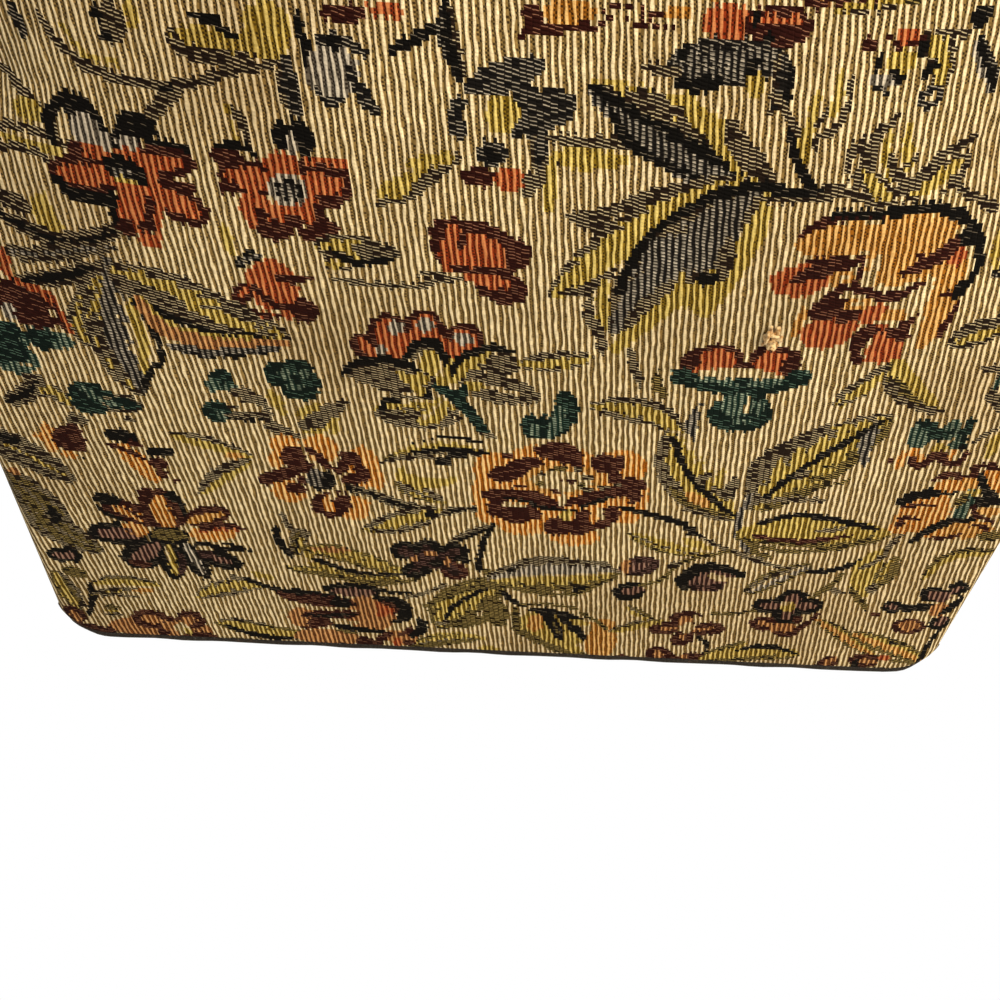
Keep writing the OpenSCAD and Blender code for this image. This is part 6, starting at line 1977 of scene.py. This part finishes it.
def bundle(name: str, lines: list[np.ndarray], radius: float, material: Material) -> Piece:
    """Makes one piece of many short threads.

    Args:
        name: name of the piece.
        lines: points of each thread in millimetres.
        radius: radius of the thread in millimetres.
        material: its material.

    Returns:
        The threads, as one curve object.
    """
    piece = sweep(name, lines[0], radius, material)
    curve = piece.data
    curve.bevel_resolution = 1
    for line in lines[1:]:
        spline = curve.splines.new("POLY")
        spline.points.add(len(line) - 1)
        for point, place in zip(spline.points, line):
            point.co = (*(place * MM), 1.0)
    return piece


def stitches(path: np.ndarray, out: np.ndarray, length: float, gap: float, rise: float) -> list[np.ndarray]:
    """Cuts a line into sewn stitches.

    Args:
        path: points of the seam, close together, in millimetres.
        out: direction away from the cloth at each point.
        length: length of one stitch.
        gap: gap between stitches.
        rise: height of a stitch's middle over the cloth.

    Returns:
        The points of each stitch, whose ends dip into the cloth.
    """
    run = np.concatenate([[0], np.cumsum(np.linalg.norm(np.diff(path, axis=0), axis=1))])
    rows = []
    for start in np.arange(gap / 2, run[-1] - length, length + gap):
        spots = start + length * np.array([0.0, 0.12, 0.5, 0.88, 1.0])
        base = np.stack([np.interp(spots, run, path[:, k]) for k in range(3)], -1)
        away = np.stack([np.interp(spots, run, out[:, k]) for k in range(3)], -1)
        rows.append(base + away * (rise * np.array([-1.2, 0.6, 1.0, 0.6, -1.2]))[:, None])
    return rows


@dataclass
class BasePanel:
    """The leatherette bottom, with a sunk seam round its edge, and the board over it.

    Attributes:
        width: size along X in millimetres.
        depth: size along Y.
        thick: thickness.
        seam: distance of the seam from the edge.
    """

    width: float = 272.4
    depth: float = 114.8
    thick: float = 2.0
    seam: float = 6.0

    def build(self, finishes: Finishes) -> Piece:
        """Makes the bottom.

        Args:
            finishes: materials of the bag.

        Returns:
            The bottom.
        """
        bm = bmesh.new()
        size = Matrix.Diagonal((self.width * MM, self.depth * MM, self.thick * MM, 1.0))
        bmesh.ops.create_cube(bm, size=1.0, matrix=Matrix.Translation((0, 0, self.thick / 2 * MM)) @ size)
        bmesh.ops.bevel(
            bm, geom=bm.edges[:], offset=0.6 * MM, offset_type="OFFSET", affect="EDGES", segments=3,
            profile=0.5, material=-1, clamp_overlap=True,
        )
        broad = [f for f in bm.faces if abs(f.normal.z) > 0.99]
        bmesh.ops.inset_individual(bm, faces=broad, thickness=self.seam * MM, depth=0.0)
        bmesh.ops.inset_individual(bm, faces=broad, thickness=0.7 * MM, depth=-0.35 * MM)
        bmesh.ops.inset_individual(bm, faces=broad, thickness=0.7 * MM, depth=0.3 * MM)
        base = new_object("base_leatherette", mesh_from(bm, "base_leatherette"), finishes.leatherette)
        weights = base.modifiers.new("edges", "WEIGHTED_NORMAL")
        weights.keep_sharp = False
        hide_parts("base_panel")
        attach(base, "bag")
        paint(["base_board"], finishes.board)
        return base


def paint(nodes: list[str], material: Material) -> None:
    """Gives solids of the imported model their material.

    Args:
        nodes: names of the solids.
        material: the material.
    """
    for name in nodes:
        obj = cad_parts[name]
        if not obj.material_slots:
            obj.data.materials.append(material)
        for slot in obj.material_slots:
            slot.material = material


@dataclass
class CottonLining:
    """The loose cotton bag inside, and the facings that carry it up to the frame.

    Attributes:
        form: outline of the bag.
        foot: height of its floor in millimetres.
        gap: distance inside the tapestry.
        around: number of cells round it.
        up: number of cells up its floor and walls.
        floor_part: share of those cells that make the floor.
        flat_width: width of the lining when it is laid flat, in metres; not used.
        facing_width: width of a facing when it is laid flat, in metres; not used.
        facing_gap: distance of a facing inside the tapestry.
        facing_bow: how much further in its middle bows.
    """

    form: BagForm = field(default_factory=BagForm)
    foot: float = 6.1
    gap: float = 2.0
    around: int = 240
    up: int = 80
    floor_part: float = 0.2
    flat_width: float = 0.83
    facing_width: float = 0.276
    facing_gap: float = 2.3
    facing_bow: float = 2.4

    def wall(self, turn: np.ndarray, z: np.ndarray) -> np.ndarray:
        """Finds the wall of the lining.

        Args:
            turn: place round the bag, from 0 to 4, one for each side.
            z: heights.

        Returns:
            The points in their place.
        """
        f = self.form
        reach = f.edge_y(z) - f.strip_clear
        slant = self.gap * np.hypot(f.pleat(z), reach) / reach
        over = np.maximum(0, f.corner_r - z)
        inset = f.corner_r - f.cloth_t - self.gap
        round_x = f.half_w - f.corner_r + np.sqrt(np.maximum(0, inset**2 - over**2))
        half = np.minimum(round_x, f.half_w - f.cloth_t - slant)
        part = np.floor(turn).astype(int) % 4
        s = 2 * (turn - np.floor(turn)) - 1
        inner = f.panel_y(np.minimum(1, np.abs(s) * half / f.panel_half_w(z)), z) - f.cloth_t - self.gap
        edge = f.panel_y(np.minimum(1, half / f.panel_half_w(z)), z) - f.cloth_t - self.gap
        ripple = 0.35 * np.sin(23 * s + z / 21) * (1 - s * s)
        side_x = half - f.pleat(z) * (1 - np.abs(s)) - np.abs(ripple) * 0.3
        sides = [part == 0, part == 1, part == 2]
        x = np.select(sides, [s * half, side_x, -s * half], -side_x)
        y = np.select(sides, [ripple - inner, s * edge, inner + ripple], -s * edge)
        return np.stack([x, y, z], -1)

    def build(self, finishes: Finishes) -> None:
        """Makes the lining and its two facings.

        Args:
            finishes: materials of the bag.
        """
        f = self.form
        mesh = mesh_from(grid_mesh(self.around, self.up), "cotton_lining")
        flat = read_points(mesh) * MM
        turn, run = 4 * flat[:, 0], flat[:, 2]
        part = self.floor_part
        climb = self.foot + (f.neck_z - self.foot) * (run - part) / (1 - part)
        points = self.wall(turn, np.maximum(climb, self.foot))
        points[:, :2] *= np.clip(run / part, 0, 1)[:, None]
        write_points(mesh, points)
        bm = bmesh.new()
        bm.from_mesh(mesh)
        bmesh.ops.remove_doubles(bm, verts=bm.verts[:], dist=1e-6)
        bm.to_mesh(mesh)
        bm.free()
        lining = new_object("cotton_lining", mesh, finishes.cotton)
        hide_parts("lining")
        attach(lining, "bag")
        area = surface_area(mesh)
        for jaw, side in (("front_jaw", -1), ("rear_jaw", 1)):
            self.facing(finishes, jaw, side)

    def facing(self, finishes: Finishes, jaw: str, side: int) -> None:
        """Makes the strip of lining behind the upper part of a panel.

        Args:
            finishes: materials of the bag.
            jaw: body of the frame half that holds its top.
            side: -1 for the front, 1 for the rear.
        """
        f = self.form
        low, high = f.neck_z - 6, f.cloth_top - 1
        mesh = mesh_from(grid_mesh(90, 30), jaw + "_facing")
        flat = read_points(mesh) * MM
        s, z = 2 * flat[:, 0] - 1, low + (high - low) * flat[:, 2]
        rim, tuck, tuck_top, tuck_h = 1.5, 9, f.gusset_top + 8, 27
        half = f.panel_half_w(z) - rim - tuck * np.clip((tuck_top - z) / tuck_h, 0, 1)
        bow_foot, bow_h = f.neck_z + 8, 56
        bow = np.sin(np.pi * np.clip((z - bow_foot) / bow_h, 0, 1))
        depth = f.panel_y(s * half / f.panel_half_w(z), z) - self.facing_gap - self.facing_bow * bow
        write_points(mesh, np.stack([s * half, side * depth, z], -1))
        if side < 0:
            mesh.flip_normals()
        strip = new_object(jaw + "_facing", mesh, finishes.cotton)
        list(f.fold(side))
        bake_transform(strip)
        area = surface_area(mesh)


@dataclass
class RolledHandle:
    """One leatherette handle rolled round a cord, with a sewn welt and a loop at each end.

    Attributes:
        body: body that it moves with.
        side: -1 for the front, 1 for the rear.
        span: distance between its ends in millimetres.
        pivot_y: distance of its rings from the middle of the bag.
        pivot_z: height of its rings.
        rise: height of its top line over the rings.
        radius: radius of the roll.
        ring_h: height of a ring.
        tab: width, height and depth of an end loop.
        strap_t: thickness of the loop's strap.
        welt_r: radius of the sewn welt.
        seam_heights: heights of the stitches over the loop's foot.
    """

    body: str
    side: int
    span: float = 130.0
    pivot_y: float = 11.61
    pivot_z: float = 262.0
    rise: float = 112.0
    radius: float = 5.5
    ring_h: float = 13.0
    tab: tuple[float, float, float] = (12.0, 16.0, 5.0)
    strap_t: float = 0.9
    welt_r: float = 1.1
    seam_heights: tuple[float, float] = (5.0, 12.5)

    def path(self, inset: float, lift: float) -> np.ndarray:
        """Finds a line along the roll.

        Args:
            inset: distance from the middle line towards the inside of the arch.
            lift: height of its ends over the roll's lower ends.

        Returns:
            Points in millimetres from one end to the other.
        """
        arc_r = self.span / 2
        arc_z = self.pivot_z + self.rise - arc_r
        foot = self.pivot_z + self.ring_h + self.tab[1] - self.tab[2] / 2 + lift
        legs = np.arange(foot, arc_z - 1, 2.0)
        angles = np.radians(np.arange(180, -1, -3.0))
        r = arc_r - inset
        left = np.stack([np.full_like(legs, -r), legs], -1)
        arch = np.stack([r * np.cos(angles), arc_z + r * np.sin(angles)], -1)
        line = np.vstack([left, arch, left[::-1] * (-1, 1)])
        return np.stack([line[:, 0], np.full(len(line), self.side * self.pivot_y), line[:, 1]], -1)

    def loop(self, dir_x: int) -> bpy.types.Mesh:
        """Makes the flat strap round one ring.

        Args:
            dir_x: -1 for the left end, 1 for the right.

        Returns:
            The strap's mesh.
        """
        wide, high, deep = self.tab
        outer = deep / 2 - self.strap_t / 2
        mesh = mesh_from(grid_mesh(8, 48), f"{self.body}_loop")
        flat = read_points(mesh) * MM
        turn = math.pi * outer
        run = flat[:, 2] * (2 * high + turn)
        angle = np.clip((run - high) / outer, 0, math.pi)
        down = np.where(run < high, high - run, np.where(run > high + turn, run - high - turn, 0.0))
        y = -outer * np.cos(angle)
        z = down - outer * np.sin(angle) * ((run >= high) & (run <= high + turn))
        pinch = 1 - 0.1 * np.clip((down - 10) / 6, 0, 1)
        x = (flat[:, 0] - 0.5) * wide * pinch + dir_x * self.span / 2
        foot = self.pivot_z + self.ring_h
        write_points(mesh, np.stack([x, self.side * self.pivot_y + y, foot + z], -1))
        return mesh

    def core(self, dir_x: int) -> bpy.types.Mesh:
        """Makes the end of the cord that the strap is sewn to.

        Args:
            dir_x: -1 for the left end, 1 for the right.

        Returns:
            The cord end's mesh.
        """
        wide, high, deep = self.tab
        size = Vector((wide - 1.6, deep - 1.7, high - 2.0)) * MM
        foot = self.pivot_z + self.ring_h + 2.4
        at = Vector((dir_x * self.span / 2, self.side * self.pivot_y, foot)) * MM
        bm = bmesh.new()
        place = Matrix.Translation(at + Vector((0, 0, size.z / 2))) @ Matrix.Diagonal((*size, 1.0))
        bmesh.ops.create_cube(bm, size=1.0, matrix=place)
        edges = bm.edges[:]
        bmesh.ops.bevel(bm, geom=edges, offset=0.5 * MM, affect="EDGES", segments=2, profile=0.5, material=-1)
        return mesh_from(bm, f"{self.body}_core")

    def end_seams(self, dir_x: int) -> list[np.ndarray]:
        """Finds the two rows of stitches on each face of one end loop.

        Args:
            dir_x: -1 for the left end, 1 for the right.

        Returns:
            The points of each stitch in millimetres.
        """
        wide, _, deep = self.tab
        count, margin = 12, 1.4
        across = np.linspace(-wide / 2 + margin, wide / 2 - margin, count) + dir_x * self.span / 2
        lines = []
        for face in (-1, 1):
            y = np.full(count, self.side * self.pivot_y + face * deep / 2)
            out = np.tile((0.0, face * 1.0, 0.0), (count, 1))
            for height in self.seam_heights:
                z = np.full(count, self.pivot_z + self.ring_h + height)
                lines += stitches(np.stack([across, y, z], -1), out, 1.7, 0.8, 0.25)
        return lines

    def carry(self, piece: Piece) -> None:
        """Lets a piece of leatherette move with the handle.

        Args:
            piece: the piece.
        """
        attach(piece, self.body)

    def build(self, finishes: Finishes) -> None:
        """Makes the handle.

        Args:
            finishes: materials of the bag.
        """
        skin = finishes.leatherette
        line = self.path(0.0, 0.0)
        ends = np.minimum(np.arange(len(line)), np.arange(len(line))[::-1])
        shares = np.clip(0.62 + 0.38 * ends / 5, 0, 1) - 0.012 * (ends % 2)
        roll = sweep(self.body + "_roll", line, self.radius, skin, shares)
        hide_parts(self.body)
        self.carry(roll)
        welt_line = self.path(self.radius - 0.6, 6.0)
        self.carry(sweep(self.body + "_welt", welt_line, self.welt_r, skin))
        inward = np.tile((0.0, self.side * 1.0, 0.0), (len(welt_line), 1))
        rows = stitches(welt_line + inward * 0.9, inward, 3.0, 1.2, 0.35)
        self.carry(bundle(self.body + "_seam", rows, 0.28, skin))
        for dir_x, word in ((-1, "left"), (1, "right")):
            end = f"{self.body}_{word}"
            strap = new_object(end + "_loop", self.loop(dir_x), skin)
            thick = strap.modifiers.new("thick", "SOLIDIFY")
            thick.thickness = self.strap_t * MM
            thick.offset = 0.0
            self.carry(strap)
            self.carry(new_object(end + "_core", self.core(dir_x), skin))
            self.carry(bundle(end + "_stitches", self.end_seams(dir_x), 0.25, skin))


@dataclass
class BrassFrame:
    """The hinged frame, its clasp, rivets, plates and rings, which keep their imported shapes."""

    nodes: tuple[str, ...] = (
        "front_jaw", "rear_jaw", "left_hinge_rivet", "right_hinge_rivet", "front_clasp", "rear_clasp",
        "front_left_handle_plate", "front_right_handle_plate",
        "rear_left_handle_plate", "rear_right_handle_plate",
        "front_left_ring", "front_right_ring", "rear_left_ring", "rear_right_ring",
    )

    def build(self, finishes: Finishes) -> None:
        """Gives the metal its finish.

        Args:
            finishes: materials of the bag.
        """
        paint(list(self.nodes), finishes.brass)


@dataclass
class PulledTuft:
    """A little tuft of yarn that has worked loose from the front panel.

    Attributes:
        place: where it sits across and up the panel, in millimetres.
        size: how far it spreads.
        strands: number of strands.
        form: outline of the bag.
    """

    place: tuple[float, float] = (62.4, 149.6)
    size: float = 3.0
    strands: int = 34
    form: BagForm = field(default_factory=BagForm)

    def build(self) -> Piece:
        """Makes the tuft.

        Returns:
            The tuft.
        """
        s = Shader("loose_tan_yarn")
        # Teased cotton fibres, matt and fuzzy
        shade = s.ramp(s.noise(s.coords(), 700, 2), 0.3, 0.7)
        colour = s.mix(shade, srgb("A87A3C"), srgb("EFD9A8"))
        yarn = s.finish({"Base Color": colour, "Roughness": 0.9, "Sheen Weight": 0.3}, None)
        rng = np.random.default_rng(5)
        x, z = self.place
        share = x / (self.form.half_w - self.form.seam_inset)
        y = -float(self.form.panel_y(np.array([share]), np.array([z]))[0])
        lines = []
        for _ in range(self.strands):
            way = rng.normal(0, 1, 3)
            turn = rng.normal(0, 1, 3)
            t = np.linspace(0, 1, 7)[:, None]
            reach = self.size * rng.uniform(0.6, 1.25)
            straight = t * way / np.linalg.norm(way)
            curl = 0.6 * np.sin(3.2 * t) * turn / np.linalg.norm(turn)
            line = reach * (straight + curl)
            line[:, 1] = -np.abs(line[:, 1]) * 0.7
            lines.append(line * (0.85, 1.0, 1.25) + (x, y - 0.3, z))
        tuft = bundle("loose_tuft", lines, 0.42, yarn)
        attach(tuft, "bag")
        return tuft


@dataclass
class Studio:
    """The camera, the pale floor and the soft light round the bag.

    Attributes:
        eye: place of the camera in millimetres.
        yaw: turn of its view to the right of the bag's depth, in degrees.
        pitch: turn of its view below the horizon.
        roll: tilt of its right side upwards.
        lens: focal length for a 36 mm sensor.
    """

    eye: tuple[float, float, float] = (-9.73, -243.83, 348.05)
    yaw: float = 1.79
    pitch: float = 54.05
    roll: float = 4.24
    lens: float = 39.6

    def camera(self) -> None:
        """Places the camera."""
        data = bpy.data.cameras.new("camera")
        data.lens = self.lens
        data.sensor_width = 36.0
        data.clip_start = 0.01
        camera = bpy.data.objects.new("camera", data)
        turn = Matrix.Rotation(math.radians(-self.yaw), 4, "Z")
        turn = turn @ Matrix.Rotation(math.radians(90 - self.pitch), 4, "X")
        turn = turn @ Matrix.Rotation(math.radians(self.roll), 4, "Z")
        camera.matrix_world = Matrix.Translation(Vector(self.eye) * MM) @ turn
        bpy.context.scene.collection.objects.link(camera)
        bpy.context.scene.camera = camera

    def floor(self) -> None:
        """Lays the floor, which the camera sees as plain white."""
        s = Shader("white_paper")
        # Matt white paper, lit evenly to the camera and dim to everything else
        path = s.node("LightPath")
        seen = s.math("MAXIMUM", path.outputs["Is Camera Ray"], path.outputs["Is Transmission Ray"])
        shine = s.node("Emission", {"Color": (1.0, 1.0, 1.0, 1.0), "Strength": 1.0})
        paper = s.node("BsdfDiffuse", {"Color": srgb("D8D4CC")})
        mixed = s.node("MixShader", {0: seen, 1: paper.outputs[0], 2: shine.outputs[0]})
        out = s.node("OutputMaterial")
        s.tree.links.new(mixed.outputs[0], out.inputs[0])
        bm = bmesh.new()
        bmesh.ops.create_grid(bm, x_segments=1, y_segments=1, size=6.0)
        for v in bm.verts:
            v.co.z = -0.0003
        new_object("floor", mesh_from(bm, "floor"), s.material)

    def light(
        self, name: str, place: tuple[float, float, float], size: float, watts: float, colour: str
    ) -> None:
        """Hangs a soft square lamp that points at the bag.

        Args:
            name: name of the lamp.
            place: where it hangs, in metres.
            size: its side in metres.
            watts: its power.
            colour: its colour.
        """
        data = bpy.data.lights.new(name, "AREA")
        data.size = size
        data.energy = watts
        data.color = srgb(colour)[:3]
        lamp = bpy.data.objects.new(name, data)
        aim = Vector((0, 0, 0.12)) - Vector(place)
        lamp.matrix_world = Matrix.Translation(place) @ aim.to_track_quat("-Z", "Y").to_matrix().to_4x4()
        bpy.context.scene.collection.objects.link(lamp)

    def world(self) -> None:
        """Sets the room's own soft light, white where the camera sees it."""
        world = bpy.data.worlds.new("room")
        world.use_nodes = True
        tree = world.node_tree
        tree.nodes.clear()
        path = add_node(tree, "LightPath")
        rays = {0: path.outputs["Is Camera Ray"], 1: path.outputs["Is Transmission Ray"]}
        seen = add_node(tree, "Math", rays, operation="MAXIMUM")
        strength = add_node(tree, "MapRange", {0: seen.outputs[0], 3: 0.2, 4: 1.0})
        sky = add_node(tree, "Background", {"Color": (1.0, 1.0, 1.0, 1.0), "Strength": strength.outputs[0]})
        out = add_node(tree, "OutputWorld")
        tree.links.new(sky.outputs[0], out.inputs[0])
        bpy.context.scene.world = world

    def build(self) -> None:
        """Sets up the whole studio."""
        self.camera()
        self.floor()
        self.world()
        self.light("key", (0.55, -0.45, 0.95), 0.5, 14.5, "FFECD0")
        self.light("fill", (-0.8, -0.9, 0.7), 1.0, 3.5, "FFEFDC")
        self.light("rim", (0.2, 1.0, 0.8), 0.8, 8.0, "FFFFFF")
        view = bpy.context.scene.view_settings
        view.view_transform = "Standard"


def main() -> None:
    """Builds the bag, piece by piece, and its studio."""
    logging.basicConfig(level=logging.INFO, format="%(name)s: %(message)s")
    Studio().build()
    finishes = Finishes()
    LOG.info("weaving the panels and gussets")
    for node, jaw, side in (("front_panel", "front_jaw", -1), ("rear_panel", "rear_jaw", 1)):
        WovenPanel(node, jaw, side).build(finishes)
    for node, side in (("left_gusset", -1), ("right_gusset", 1)):
        PleatedGusset(node, side).build(finishes)
    LOG.info("sewing the piping, base and lining")
    for node, side in (("front_piping", -1), ("rear_piping", 1)):
        SeamPiping(node, side).build(finishes)
    BasePanel().build(finishes)
    CottonLining().build(finishes)
    LOG.info("fitting the frame and handles")
    BrassFrame().build(finishes)
    for body, side in (("front_handle", -1), ("rear_handle", 1)):
        RolledHandle(body, side).build(finishes)
    PulledTuft().build()


if __name__ == "__main__":
    main()
